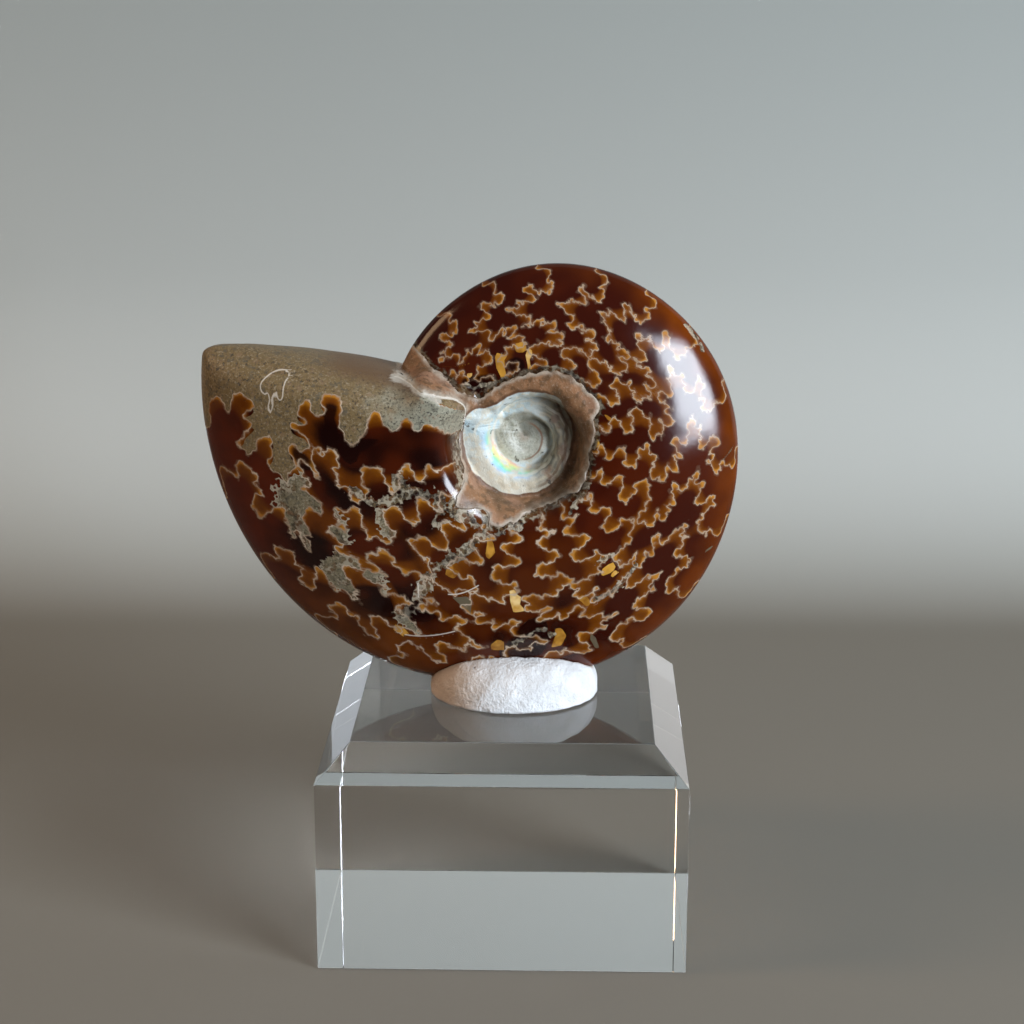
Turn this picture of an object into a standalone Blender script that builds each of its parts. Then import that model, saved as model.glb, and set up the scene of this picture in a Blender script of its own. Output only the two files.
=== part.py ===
"""A polished ammonite resting in a lump of white putty on a clear, bevelled acrylic block.

Metres, +Z up. The origin is the centre of the block's underside. +X runs to the right as
the ammonite's front flank is looked at, and +Y points away behind it.

The shell is a logarithmic spiral. Its angle grows clockwise, seen from the front, from +X,
and the last whorl ends at a ground edge at the upper left.
"""

import math

import bmesh
import bpy

# Acrylic block
BLOCK_WIDTH = 0.064
BLOCK_HEIGHT = 0.040
BLOCK_BEVEL = 0.0059

# Putty rest
REST_CENTRE_X = 0.0014
REST_HALF_WIDTH = 0.0153
REST_HALF_DEPTH = 0.0131
REST_CROWN = 0.0092
REST_FOOT = 0.0009
REST_ROUNDING = 0.8
REST_SEGMENTS = 48
REST_RINGS = 20

# Ammonite: the spiral
COIL_X = 0.00415
COIL_Z = 0.08797
START_RADIUS = 0.03717
GROWTH_PER_RADIAN = 0.1388
POLISH_WAVES = (  # waves in a turn, depth as a fraction of the radius, phase
    (1, 0.0053, math.radians(101)),
    (2, 0.0090, math.radians(117)),
    (3, 0.0060, math.radians(182)),
    (5, 0.0044, math.radians(63)),
)
FIRST_ANGLE = math.radians(-150.4)
WHORLS = 4

# Ammonite: the whorl's section, as fractions of the whorl's outer radius
HALF_THICKNESS = 0.25
FIRST_SEAM = 0.266
LAST_SEAM = 0.194
CREST_INWARD = 0.16
VENTER_NARROWING = 0.2
SHOULDER_POWER = 3.0
WALL_POWER = 0.4545
SEAM_BLEND = 0.0012
CORE_HALF_THICKNESS = 0.0016

# Ammonite: the ground edge where the last whorl ends
END_HEIGHT = 0.0178
END_DROP = 0.0164
END_REACH = 0.0220
END_ROUNDING = 0.0073
END_ROUND_POWER = 2.2
TIP_BLEND = 0.0146
STEP_WIDTH = 0.0042
STEP_TOP = 0.001
TIP_FROM = math.radians(15.0)
TIP_TO = math.radians(17.5)

# Mesh
GRID_CELLS = 40
RIM_CROWDING = 0.09
GAP = 0.0003


def clamp(value, low=0.0, high=1.0):
    return max(low, min(high, value))


def smoothstep(low, high, value):
    part = clamp((value - low) / (high - low))
    return part * part * (3.0 - 2.0 * part)


def smooth_min(first, second, blend):
    overlap = max(blend - abs(first - second), 0.0) / blend
    return min(first, second) - overlap ** 3 * blend / 6.0


def smooth_max(first, second, blend):
    return -smooth_min(-first, -second, blend)


def venter_radius(angle):
    """Distance from the coil's axis to the outer edge, at a growth angle."""
    worn = sum(depth * math.cos(waves * angle + phase) for waves, depth, phase in POLISH_WAVES)
    return START_RADIUS * math.exp(GROWTH_PER_RADIAN * angle) * (1.0 + worn)


def seam_fraction(angle):
    """The umbilical seam widens less than the shell does over the last whorl."""
    grown = clamp((angle - FIRST_ANGLE) / math.tau)
    return FIRST_SEAM + (LAST_SEAM - FIRST_SEAM) * grown


def whorl_thickness(radius, angle, outer):
    """Half thickness of one whorl at a distance from the axis."""
    seam = venter_radius(angle) * seam_fraction(angle)
    crest = seam + CREST_INWARD * (outer - seam)
    half = HALF_THICKNESS * venter_radius(angle)
    if radius >= outer or radius <= seam:
        return 0.0
    if radius >= crest:
        part = (radius - crest) / (outer - crest)
        return half * math.sqrt(1.0 - part * part) * (1.0 - VENTER_NARROWING * part * part)
    part = (crest - radius) / (crest - seam)
    return half * (1.0 - part ** SHOULDER_POWER) ** WALL_POWER


def end_line(across):
    """Height of the ground edge above the axis, at a distance to the left of it."""
    return END_HEIGHT - END_DROP * math.exp(-across / END_REACH)


def below_end_line(radius, angle):
    """Distance below the ground edge, for angles past half a turn."""
    across = -radius * math.cos(angle)
    height = -radius * math.sin(angle)
    slope = END_DROP / END_REACH * math.exp(-across / END_REACH)
    return (end_line(across) - height) / math.sqrt(1.0 + slope * slope)


def end_radius(angle):
    """Where a ray from the axis leaves the last whorl through its ground edge."""
    rise = math.tan(angle - math.pi)
    across = END_HEIGHT / rise
    for _ in range(24):
        across = end_line(across) / rise
    return across / math.cos(angle - math.pi)


def outline_radius(angle):
    """Outer edge of the whole ammonite, for growth angles from -110 to 250 degrees."""
    past_half = angle - math.pi
    if past_half < math.radians(8.0):
        return venter_radius(angle)
    earlier = venter_radius(angle - math.tau)
    if past_half > math.radians(30.5):
        return earlier
    rounded = smooth_min(venter_radius(angle), end_radius(angle), TIP_BLEND)
    return max(rounded, earlier)


def end_fade(radius, angle):
    """1 inside the last whorl, falling to 0 over its ground edge and down its step."""
    past_half = angle - math.pi
    if past_half < math.radians(8.0):
        return 1.0
    earlier = venter_radius(angle - math.tau)
    depth = below_end_line(radius, angle)
    tip = smoothstep(TIP_FROM, TIP_TO, past_half)
    rim_depth = max(below_end_line(outline_radius(angle), angle), 0.0)
    inward = clamp((depth - tip * rim_depth) / END_ROUNDING)
    rounded = (1.0 - (1.0 - inward) ** END_ROUND_POWER) ** (1.0 / END_ROUND_POWER)
    step = smoothstep(-STEP_WIDTH, STEP_TOP, depth)
    on_coil = 1.0 - smoothstep(0.8, 1.0, radius / earlier)
    if depth < -STEP_WIDTH and past_half > math.radians(60.0):
        return 0.0
    return rounded + (step - rounded) * on_coil


def half_thickness(radius, angle):
    """Height of the flank over the middle plane, the highest of the nested whorls."""
    past_half = angle - math.pi
    tip = smoothstep(TIP_FROM, TIP_TO, past_half)
    outer = venter_radius(angle)
    if past_half < math.radians(30.5):
        outer += (outline_radius(angle) - outer) * (1.0 - tip)
    height = whorl_thickness(radius, angle, outer) * end_fade(radius, angle)
    for turn in range(1, WHORLS + 1):
        earlier = angle - turn * math.tau
        inner = whorl_thickness(radius, earlier, venter_radius(earlier))
        height = smooth_max(height, inner, min(SEAM_BLEND, 0.5 * venter_radius(earlier)))
    return height


def on_disc(across, up):
    """Square to disc: a ring number from 0 to 1, and an angle from -110 to 250 degrees."""
    ring = max(abs(across), abs(up))
    if ring == 0.0:
        return 0.0, 0.0
    if abs(across) >= abs(up):
        turn = math.pi / 4.0 * (up / across) + (math.pi if across < 0.0 else 0.0)
    else:
        turn = math.pi / 2.0 - math.pi / 4.0 * (across / up) + (math.pi if up < 0.0 else 0.0)
    first = math.radians(-110.0)
    return ring, (turn - first) % math.tau + first


def front_flank(cells):
    """The front half of the ammonite, open along its middle plane."""
    flank = bmesh.new()
    rows = []
    for row in range(cells + 1):
        points = []
        for column in range(cells + 1):
            ring, angle = on_disc(2.0 * column / cells - 1.0, 2.0 * row / cells - 1.0)
            reach = ring - RIM_CROWDING * math.sin(math.tau * ring)
            radius = reach * outline_radius(angle)
            height = 0.0
            if ring < 1.0:
                height = max(half_thickness(radius, angle), CORE_HALF_THICKNESS)
            place = (radius * math.cos(angle), -height, -radius * math.sin(angle))
            points.append(flank.verts.new(place))
        rows.append(points)
    for low, high in zip(rows, rows[1:]):
        for column in range(cells):
            flank.faces.new((low[column], high[column], high[column + 1], low[column + 1]))
    bmesh.ops.recalc_face_normals(flank, faces=flank.faces)
    return flank


def finish(name, shape, material, place):
    """A mesh object with one material."""
    mesh = bpy.data.meshes.new(name)
    shape.to_mesh(mesh)
    shape.free()
    mesh.materials.append(material)
    thing = bpy.data.objects.new(name, mesh)
    thing.location = place
    bpy.context.scene.collection.objects.link(thing)
    return thing


def add_mirror(thing):
    mirror = thing.modifiers.new("other flank", "MIRROR")
    mirror.use_axis = (False, True, False)
    mirror.use_mirror_merge = True
    mirror.merge_threshold = 0.0001


def make_material(name, colour, roughness, transmission=0.0):
    material = bpy.data.materials.new(name)
    material.use_nodes = True
    shader = material.node_tree.nodes["Principled BSDF"]
    shader.inputs["Base Color"].default_value = (*colour, 1.0)
    shader.inputs["Roughness"].default_value = roughness
    shader.inputs["Metallic"].default_value = 0.0
    shader.inputs["Transmission Weight"].default_value = transmission
    return material


def make_ammonite():
    material = make_material("polished fossil", (0.16, 0.045, 0.022), 0.12)
    ammonite = finish("ammonite", front_flank(GRID_CELLS), material, (COIL_X, 0.0, COIL_Z))
    add_mirror(ammonite)
    ammonite.data.shade_smooth()
    return ammonite


def make_keel_cutter(ammonite):
    """The ammonite grown by the gap, which presses its keel into the putty."""
    cutter = bpy.data.objects.new("keel cutter", ammonite.data.copy())
    cutter.location = ammonite.location
    bpy.context.scene.collection.objects.link(cutter)
    add_mirror(cutter)
    grow = cutter.modifiers.new("grow", "DISPLACE")
    grow.mid_level = 0.0
    grow.strength = GAP
    cutter.hide_render = True
    cutter.display_type = "WIRE"
    return cutter


def make_putty_rest(keel_cutter):
    """A pressed lump, flat below its widest ring and rounded above it."""
    lump = bmesh.new()
    bmesh.ops.create_uvsphere(lump, u_segments=REST_SEGMENTS, v_segments=REST_RINGS, radius=1.0)
    for vert in lump.verts:
        level = vert.co.z
        side = math.hypot(vert.co.x, vert.co.y)
        spread = side ** (REST_ROUNDING - 1.0) if side > 1e-6 else 0.0
        vert.co.x *= spread * REST_HALF_WIDTH
        vert.co.y *= spread * REST_HALF_DEPTH
        if level >= 0.0:
            vert.co.z = REST_FOOT + REST_CROWN * level ** REST_ROUNDING
        else:
            vert.co.z = max(REST_FOOT - REST_CROWN * (-level) ** REST_ROUNDING, 0.0)
    flat = [face for face in lump.faces if all(vert.co.z < 1e-7 for vert in face.verts)]
    bmesh.ops.dissolve_faces(lump, faces=flat)
    material = make_material("chalky putty", (0.82, 0.80, 0.78), 0.9)
    place = (REST_CENTRE_X, 0.0, BLOCK_HEIGHT + GAP)
    rest = finish("putty_rest", lump, material, place)
    groove = rest.modifiers.new("keel groove", "BOOLEAN")
    groove.operation = "DIFFERENCE"
    groove.solver = "EXACT"
    groove.object = keel_cutter
    return rest


def make_acrylic_block():
    """A square block whose top edges are cut at 45 degrees."""
    block = bmesh.new()
    half = BLOCK_WIDTH / 2.0
    levels = (
        (half, 0.0),
        (half, BLOCK_HEIGHT - BLOCK_BEVEL),
        (half - BLOCK_BEVEL, BLOCK_HEIGHT),
    )
    rings = []
    for reach, height in levels:
        corners = ((reach, reach), (-reach, reach), (-reach, -reach), (reach, -reach))
        rings.append([block.verts.new((x, y, height)) for x, y in corners])
    for lower, upper in zip(rings, rings[1:]):
        for index in range(4):
            after = (index + 1) % 4
            block.faces.new((lower[index], lower[after], upper[after], upper[index]))
    block.faces.new(reversed(rings[0]))
    block.faces.new(rings[-1])
    material = make_material("clear acrylic", (0.93, 0.95, 0.96), 0.03, 1.0)
    return finish("acrylic_block", block, material, (0.0, 0.0, 0.0))


def main():
    for old in list(bpy.data.objects):
        bpy.data.objects.remove(old, do_unlink=True)
    stand = bpy.data.objects.new("stand origin", None)
    bpy.context.scene.collection.objects.link(stand)
    ammonite = make_ammonite()
    keel_cutter = make_keel_cutter(ammonite)
    for thing in (ammonite, keel_cutter, make_putty_rest(keel_cutter), make_acrylic_block()):
        thing.parent = stand


main()
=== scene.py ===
import math
from types import SimpleNamespace

import bmesh
import bpy
import numpy as np
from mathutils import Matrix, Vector
from mathutils.bvhtree import BVHTree
from mathutils.kdtree import KDTree


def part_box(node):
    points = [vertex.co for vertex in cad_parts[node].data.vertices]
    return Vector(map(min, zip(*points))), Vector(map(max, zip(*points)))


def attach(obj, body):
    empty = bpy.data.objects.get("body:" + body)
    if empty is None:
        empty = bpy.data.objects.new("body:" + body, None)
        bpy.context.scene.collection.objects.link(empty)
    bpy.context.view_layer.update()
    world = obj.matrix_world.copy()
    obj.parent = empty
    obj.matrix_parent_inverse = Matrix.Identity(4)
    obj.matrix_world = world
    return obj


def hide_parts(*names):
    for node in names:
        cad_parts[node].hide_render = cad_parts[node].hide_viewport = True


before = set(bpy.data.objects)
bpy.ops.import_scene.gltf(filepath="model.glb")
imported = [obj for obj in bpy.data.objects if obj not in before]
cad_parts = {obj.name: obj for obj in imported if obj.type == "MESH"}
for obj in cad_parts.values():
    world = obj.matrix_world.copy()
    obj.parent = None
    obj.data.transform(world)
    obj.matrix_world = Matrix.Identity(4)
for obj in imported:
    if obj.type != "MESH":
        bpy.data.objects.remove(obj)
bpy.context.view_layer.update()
print("frame loaded")

mm = 0.001
scene = bpy.context.scene


def plug(tree, value, socket):
    if isinstance(value, Field):
        tree.links.new(value.socket, socket)
    else:
        socket.default_value = value


# adds a node with its settings and inputs, and gives back one of its outputs
def addNode(tree, kind, inputs, output=0, **settings):
    node = tree.nodes.new(kind)
    for name, value in settings.items():
        setattr(node, name, value)
    for name, value in inputs.items():
        plug(tree, value, node.inputs[name])
    return Field(tree, node.outputs[output])


def mathNode(tree, operation, *values):
    return addNode(tree, "ShaderNodeMath", dict(enumerate(values)), operation=operation)


def doing(operation):
    def act(self, *others):
        return mathNode(self.tree, operation, self, *others)
    return act


def doingFromTheRight(operation):
    def act(self, other):
        return mathNode(self.tree, operation, other, self)
    return act


# one value in a node tree: sums on it add math nodes
class Field:
    def __init__(self, tree, socket):
        self.tree = tree
        self.socket = socket

    __add__ = doing("ADD")
    __radd__ = doing("ADD")
    __sub__ = doing("SUBTRACT")
    __rsub__ = doingFromTheRight("SUBTRACT")
    __mul__ = doing("MULTIPLY")
    __rmul__ = doing("MULTIPLY")
    __truediv__ = doing("DIVIDE")
    __rtruediv__ = doingFromTheRight("DIVIDE")
    __pow__ = doing("POWER")
    least = doing("MINIMUM")
    most = doing("MAXIMUM")
    over = doing("GREATER_THAN")
    under = doing("LESS_THAN")
    size = doing("ABSOLUTE")
    root = doing("SQRT")
    wrap = doing("WRAP")
    softLeast = doing("SMOOTH_MIN")
    softMost = doing("SMOOTH_MAX")
    tangent = doing("TANGENT")
    sine = doing("SINE")

    def clamped(self):
        return self.most(0.0).least(1.0)


def cosine(value):
    return mathNode(value.tree, "COSINE", value) if isinstance(value, Field) else np.cos(value)


def exponent(value):
    return mathNode(value.tree, "EXPONENT", value) if isinstance(value, Field) else np.exp(value)


def axesOf(where):
    node = where.tree.nodes.new("ShaderNodeSeparateXYZ")
    plug(where.tree, where, node.inputs[0])
    return [Field(where.tree, output) for output in node.outputs]


def easeField(low, high, value):
    part = ((value - low) / (high - low)).clamped()
    return part * part * (3.0 - part * 2.0)


def choose(test, whenTrue, whenFalse):
    return whenFalse + (whenTrue - whenFalse) * test


def ease(low, high, value):
    part = np.clip((value - low) / (high - low), 0.0, 1.0)
    return part * part * (3.0 - 2.0 * part)


# the spiral shell: these are the inputs of its node group
shell = {
    "Growth": 0.1388,               # per radian
    "Half Thickness": 0.25,         # of the whorl's outer radius, as are the next three
    "First Seam": 0.266,
    "Last Seam": 0.194,
    "Crest Inward": 0.16,           # from the seam to the venter
    "Venter Narrowing": 0.2,
    "Shoulder Power": 3.0,
    "Wall Power": 0.4545,
    "Seam Blend": 0.0012,
    "Core Half Thickness": 0.0016,
    "End Height": 0.0178,           # the ground edge where the last whorl ends
    "End Drop": 0.0164,
    "End Reach": 0.0220,
    "End Rounding": 0.0073,
    "End Round Power": 2.2,
    "Tip Blend": 0.0146,
    "Step Width": 0.0042,
    "Step Top": 0.001,
    "Rim Easing": 0.12,
    "Rim Power": 8.0,
}
coil = {
    "centreX": 0.6111,              # share of the ammonite's width, from its left edge
    "centreZ": 0.6016,              # share of its height, from its keel
    "startRadius": 0.3899,          # share of its width, at growth angle 0
    # waves in a turn, depth and phase in degrees, fitted to the real outline by least squares
    "polishWaves": ((1, 0.0053, 101), (2, 0.0090, 117), (3, 0.0060, 182), (5, 0.0044, 63)),
    "firstAngle": -150.4,
    "wrapAngle": -110.0,
    "cornerAngle": 30.5,            # past half a turn, where the ground edge meets the earlier whorl
    "whorls": 4,
    "cells": 220,                   # along each side of the grid
}
keel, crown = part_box("ammonite")
shellWidth = crown.x - keel.x
coilX = keel.x + coil["centreX"] * shellWidth
coilZ = keel.z + coil["centreZ"] * (crown.z - keel.z)
startRadius = coil["startRadius"] * shellWidth


def venterRadius(angle, start, growth):
    worn = 1.0
    for waves, depth, phase in coil["polishWaves"]:
        worn = worn + cosine(angle * float(waves) + math.radians(phase)) * depth
    return exponent(angle * growth) * worn * start


def whorlThickness(inputs, radius, angle, venter, outer):
    grown = ((angle - math.radians(coil["firstAngle"])) / math.tau).clamped()
    seam = venter * (inputs["First Seam"] + (inputs["Last Seam"] - inputs["First Seam"]) * grown)
    crest = seam + (outer - seam) * inputs["Crest Inward"]
    half = venter * inputs["Half Thickness"]
    out = ((radius - crest) / (outer - crest)).clamped()
    flank = (1.0 - out * out).root() * (1.0 - out * out * inputs["Venter Narrowing"])
    inward = ((crest - radius) / (crest - seam)).clamped()
    wall = (1.0 - inward ** inputs["Shoulder Power"]) ** inputs["Wall Power"]
    return half * flank.least(wall)


def endLine(inputs, across):
    return inputs["End Height"] - inputs["End Drop"] * exponent(0.0 - across / inputs["End Reach"])


def belowEndLine(inputs, radius, angle):
    across = 0.0 - radius * cosine(angle)
    height = 0.0 - radius * angle.sine()
    slope = inputs["End Drop"] / inputs["End Reach"] * exponent(0.0 - across / inputs["End Reach"])
    return (endLine(inputs, across) - height) / (slope * slope + 1.0).root()


def endRadius(inputs, pastHalf):
    rise = pastHalf.most(math.radians(4.0)).least(math.radians(60.0)).tangent()
    across = inputs["End Height"] / rise
    for _ in range(24):
        across = endLine(inputs, across) / rise
    return across / cosine(pastHalf)


def buildShellTree(sizes):
    tree = bpy.data.node_groups.new("spiral shell", "GeometryNodeTree")
    tree.interface.new_socket("Geometry", in_out="OUTPUT", socket_type="NodeSocketGeometry")
    kinds = {**dict.fromkeys(sizes, "Float"), "Cells": "Int", "Material": "Material"}
    for name, kind in kinds.items():
        tree.interface.new_socket(name, in_out="INPUT", socket_type="NodeSocket" + kind)
    start = tree.nodes.new("NodeGroupInput")
    inputs = {name: Field(tree, start.outputs[name]) for name in kinds}

    # a square grid, whose rings become the rings of the disc
    corners = inputs["Cells"] + 1.0
    grid = addNode(tree, "GeometryNodeMeshGrid", {
        "Size X": 2.0, "Size Y": 2.0, "Vertices X": corners, "Vertices Y": corners,
    })
    across, up, _ = axesOf(addNode(tree, "GeometryNodeInputPosition", {}))
    ring = across.size().most(up.size())
    sideways = (up / across) * (math.pi / 4) + across.under(0.0) * math.pi
    upright = math.pi / 2 - (across / up) * (math.pi / 4) + up.under(0.0) * math.pi
    turn = choose(across.size().over(up.size() - 1e-6), sideways, upright)
    first = math.radians(coil["wrapAngle"])
    angle = turn.wrap(first + math.tau, first)

    # the outline: the last whorl, its ground edge, then the whorl before it
    own = venterRadius(angle, inputs["Start Radius"], inputs["Growth"])
    earlier = venterRadius(angle - math.tau, inputs["Start Radius"], inputs["Growth"])
    pastHalf = angle - math.pi
    ended = own.softLeast(endRadius(inputs, pastHalf), inputs["Tip Blend"]).most(earlier)
    pastTip = pastHalf.over(math.radians(8.0))
    pastCorner = pastHalf.over(math.radians(coil["cornerAngle"]))
    outline = choose(pastCorner, earlier, choose(pastTip, ended, own))
    easing = inputs["Rim Easing"]
    reach = ring * (easing + 1.0) - ring ** inputs["Rim Power"] * easing
    radius = reach * outline

    # how the last whorl fades over its ground edge and down its step
    tip = easeField(math.radians(15.0), math.radians(17.5), pastHalf)
    depth = belowEndLine(inputs, radius, angle)
    rimDepth = belowEndLine(inputs, outline, angle).most(0.0)
    inward = ((depth - tip * rimDepth) / inputs["End Rounding"]).clamped()
    power = inputs["End Round Power"]
    rounded = (1.0 - (1.0 - inward) ** power) ** (1.0 / power)
    step = easeField(0.0 - inputs["Step Width"], inputs["Step Top"], depth)
    onCoil = 1.0 - easeField(0.8, 1.0, radius / earlier)
    fade = rounded + (step - rounded) * onCoil
    outside = (depth + inputs["Step Width"]).under(0.0) * pastHalf.over(math.radians(60.0))
    fade = choose(pastTip, fade * (1.0 - outside), 1.0)

    # the highest of the nested whorls
    outer = own + (outline - own) * (1.0 - tip) * (1.0 - pastCorner)
    height = whorlThickness(inputs, radius, angle, own, outer) * fade
    for turnsBack in range(1, coil["whorls"] + 1):
        back = angle - turnsBack * math.tau
        venter = venterRadius(back, inputs["Start Radius"], inputs["Growth"])
        inner = whorlThickness(inputs, radius, back, venter, venter)
        height = height.softMost(inner, inputs["Seam Blend"].least(venter * 0.5))
    core = inputs["Core Half Thickness"] * (1.0 - easeField(0.88, 0.95, reach))
    height = height.most(core) * ring.under(0.99999)

    # growth angle and share of the whorl's radius, kept on the points for the finish
    growthAngle = (angle - pastCorner * math.tau) * (180.0 / math.pi)
    share = radius / choose(pastCorner, earlier, own)
    join = tree.nodes.new("GeometryNodeJoinGeometry")
    for side in (-1.0, 1.0):
        spot = addNode(tree, "ShaderNodeCombineXYZ", {
            0: inputs["Coil X"] + radius * cosine(angle),
            1: height * side,
            2: inputs["Coil Z"] - radius * angle.sine(),
        })
        # front on the map's left half, back on its right
        unfolded = addNode(tree, "ShaderNodeCombineXYZ", {
            0: across * 0.24 + (0.5 + side * 0.25), 1: up * 0.49 + 0.5,
        })
        geometry = grid
        for name, value, kind, domain in (
            ("growthAngle", growthAngle, "FLOAT", "POINT"),
            ("share", share, "FLOAT", "POINT"),
            ("OFBake", unfolded, "FLOAT2", "CORNER"),
        ):
            kept = {"Geometry": geometry, "Name": name, "Value": value}
            geometry = addNode(tree, "GeometryNodeStoreNamedAttribute", kept,
                               data_type=kind, domain=domain)
        geometry = addNode(tree, "GeometryNodeSetPosition", {"Geometry": geometry, "Position": spot})
        if side < 0.0:
            geometry = addNode(tree, "GeometryNodeFlipFaces", {"Mesh": geometry})
        plug(tree, geometry, join.inputs["Geometry"])
    geometry = Field(tree, join.outputs[0])
    for kind, extra in (
        ("MergeByDistance", {"Distance": 1e-5}),
        ("SetShadeSmooth", {}),
        ("RealizeInstances", {}),
        ("SetMaterial", {"Material": inputs["Material"]}),
    ):
        geometry = addNode(tree, "GeometryNode" + kind, {"Geometry": geometry, **extra})
    plug(tree, geometry, tree.nodes.new("NodeGroupOutput").inputs["Geometry"])
    return tree


def growShell(material):
    sizes = {"Coil X": coilX, "Coil Z": coilZ, "Start Radius": startRadius, **shell}
    tree = buildShellTree(sizes)
    holder = bpy.data.objects.new("shell holder", bpy.data.meshes.new("shell holder"))
    scene.collection.objects.link(holder)
    modifier = holder.modifiers.new("spiral shell", "NODES")
    modifier.node_group = tree
    values = {**sizes, "Cells": coil["cells"], "Material": material}
    for socket in tree.interface.items_tree:
        if socket.item_type == "SOCKET" and socket.in_out == "INPUT":
            modifier[socket.identifier] = values[socket.name]
    graph = bpy.context.evaluated_depsgraph_get()
    graph.update()
    mesh = bpy.data.meshes.new_from_object(holder.evaluated_get(graph))
    bpy.data.objects.remove(holder)
    mesh.name = "polished_ammonite"
    piece = bpy.data.objects.new("polished_ammonite", mesh)
    scene.collection.objects.link(piece)
    return piece


# the ammonite's markings, traced as growth angle in degrees and share of the whorl's radius

sutureTips = (
    -156.5, -138.2, -118.0, -99.0, -80.3, -63.3, -47.5, -30.0, -11.5,
    7.0, 26.0, 45.3, 63.5, 84.0, 101.0, 118.5, 135.5, 153.5,
)
# one suture line from the outer edge to the umbilicus, angles counted from its first lobe's tip
suturePath = (
    (14.8, 1.02), (14.8, 0.983), (19.4, 0.980), (20.7, 0.969), (21, 0.956), (20.4, 0.939),
    (18.8, 0.920), (19.4, 0.909), (21.3, 0.909), (21.8, 0.887), (20.7, 0.868), (19.9, 0.850),
    (18.5, 0.852), (17.2, 0.868), (16.6, 0.870), (16.3, 0.854), (15.6, 0.855), (14.2, 0.876),
    (12.8, 0.895), (11.8, 0.905), (11.05, 0.898), (9.3, 0.898), (9.25, 0.879), (10.9, 0.859),
    (12.3, 0.840), (13.1, 0.821), (12.5, 0.806), (10.6, 0.804), (9.5, 0.815), (8.2, 0.821),
    (7.4, 0.814), (6.5, 0.825), (5.2, 0.832), (4.9, 0.821), (5.7, 0.807), (5.05, 0.795),
    (3.6, 0.8015), (1.7, 0.806), (0, 0.800), (1.4, 0.788), (2.7, 0.781), (4.1, 0.774),
    (3.5, 0.763), (5.2, 0.759), (7.4, 0.753), (9.6, 0.7465), (10.6, 0.733), (10.1, 0.716),
    (8.2, 0.705), (7.3, 0.6915), (8.4, 0.685), (9.5, 0.685), (10.3, 0.675), (11.4, 0.679),
    (12.2, 0.6915), (13.3, 0.6915), (14.05, 0.708), (15.6, 0.719), (16.4, 0.711),
    (16.1, 0.6915), (16.7, 0.676), (17.7, 0.686), (18.8, 0.698), (20.4, 0.697),
    (21.6, 0.7025), (23.2, 0.690), (22.6, 0.669), (20.7, 0.656), (19, 0.650),
    (20.7, 0.645), (22.9, 0.6475), (25.1, 0.654), (26.4, 0.645), (27.8, 0.632),
    (26.4, 0.620), (25.6, 0.612), (26.8, 0.601), (27.8, 0.590), (26.7, 0.576),
    (24.5, 0.577), (22.3, 0.577), (21.2, 0.590), (20.2, 0.595), (19.4, 0.584),
    (17.8, 0.590), (16.3, 0.601), (15, 0.603), (15.3, 0.584), (14.7, 0.573),
    (12.5, 0.5715), (10.6, 0.568), (8.4, 0.557), (10.1, 0.543), (11.05, 0.521),
    (13.1, 0.507), (13.7, 0.518), (16.3, 0.520), (18.2, 0.510), (21.3, 0.504),
    (23.05, 0.496), (22.4, 0.477), (22.7, 0.458), (20.7, 0.452), (17.8, 0.455),
    (15, 0.458), (12.5, 0.449), (9.95, 0.449), (10.9, 0.422), (13.1, 0.411),
    (15.6, 0.403), (18.2, 0.397), (20.05, 0.386), (21, 0.3725), (20.4, 0.359),
    (17.5, 0.359), (14.4, 0.359), (10.6, 0.350), (8.7, 0.345), (11.8, 0.331),
    (15, 0.3255), (18.2, 0.3175), (20.05, 0.309), (17, 0.295), (13, 0.285),
    (15, 0.265), (16, 0.18),
)
# where the last suture would run if it weren't folded: angle against share of the radius
sutureMiddle = (
    (0.25, 15.0), (0.36, 15.0), (0.42, 16.0), (0.50, 17.0), (0.56, 17.0), (0.62, 20.0),
    (0.70, 13.0), (0.80, 9.0), (0.90, 14.5), (1, 14.5),
)
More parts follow.
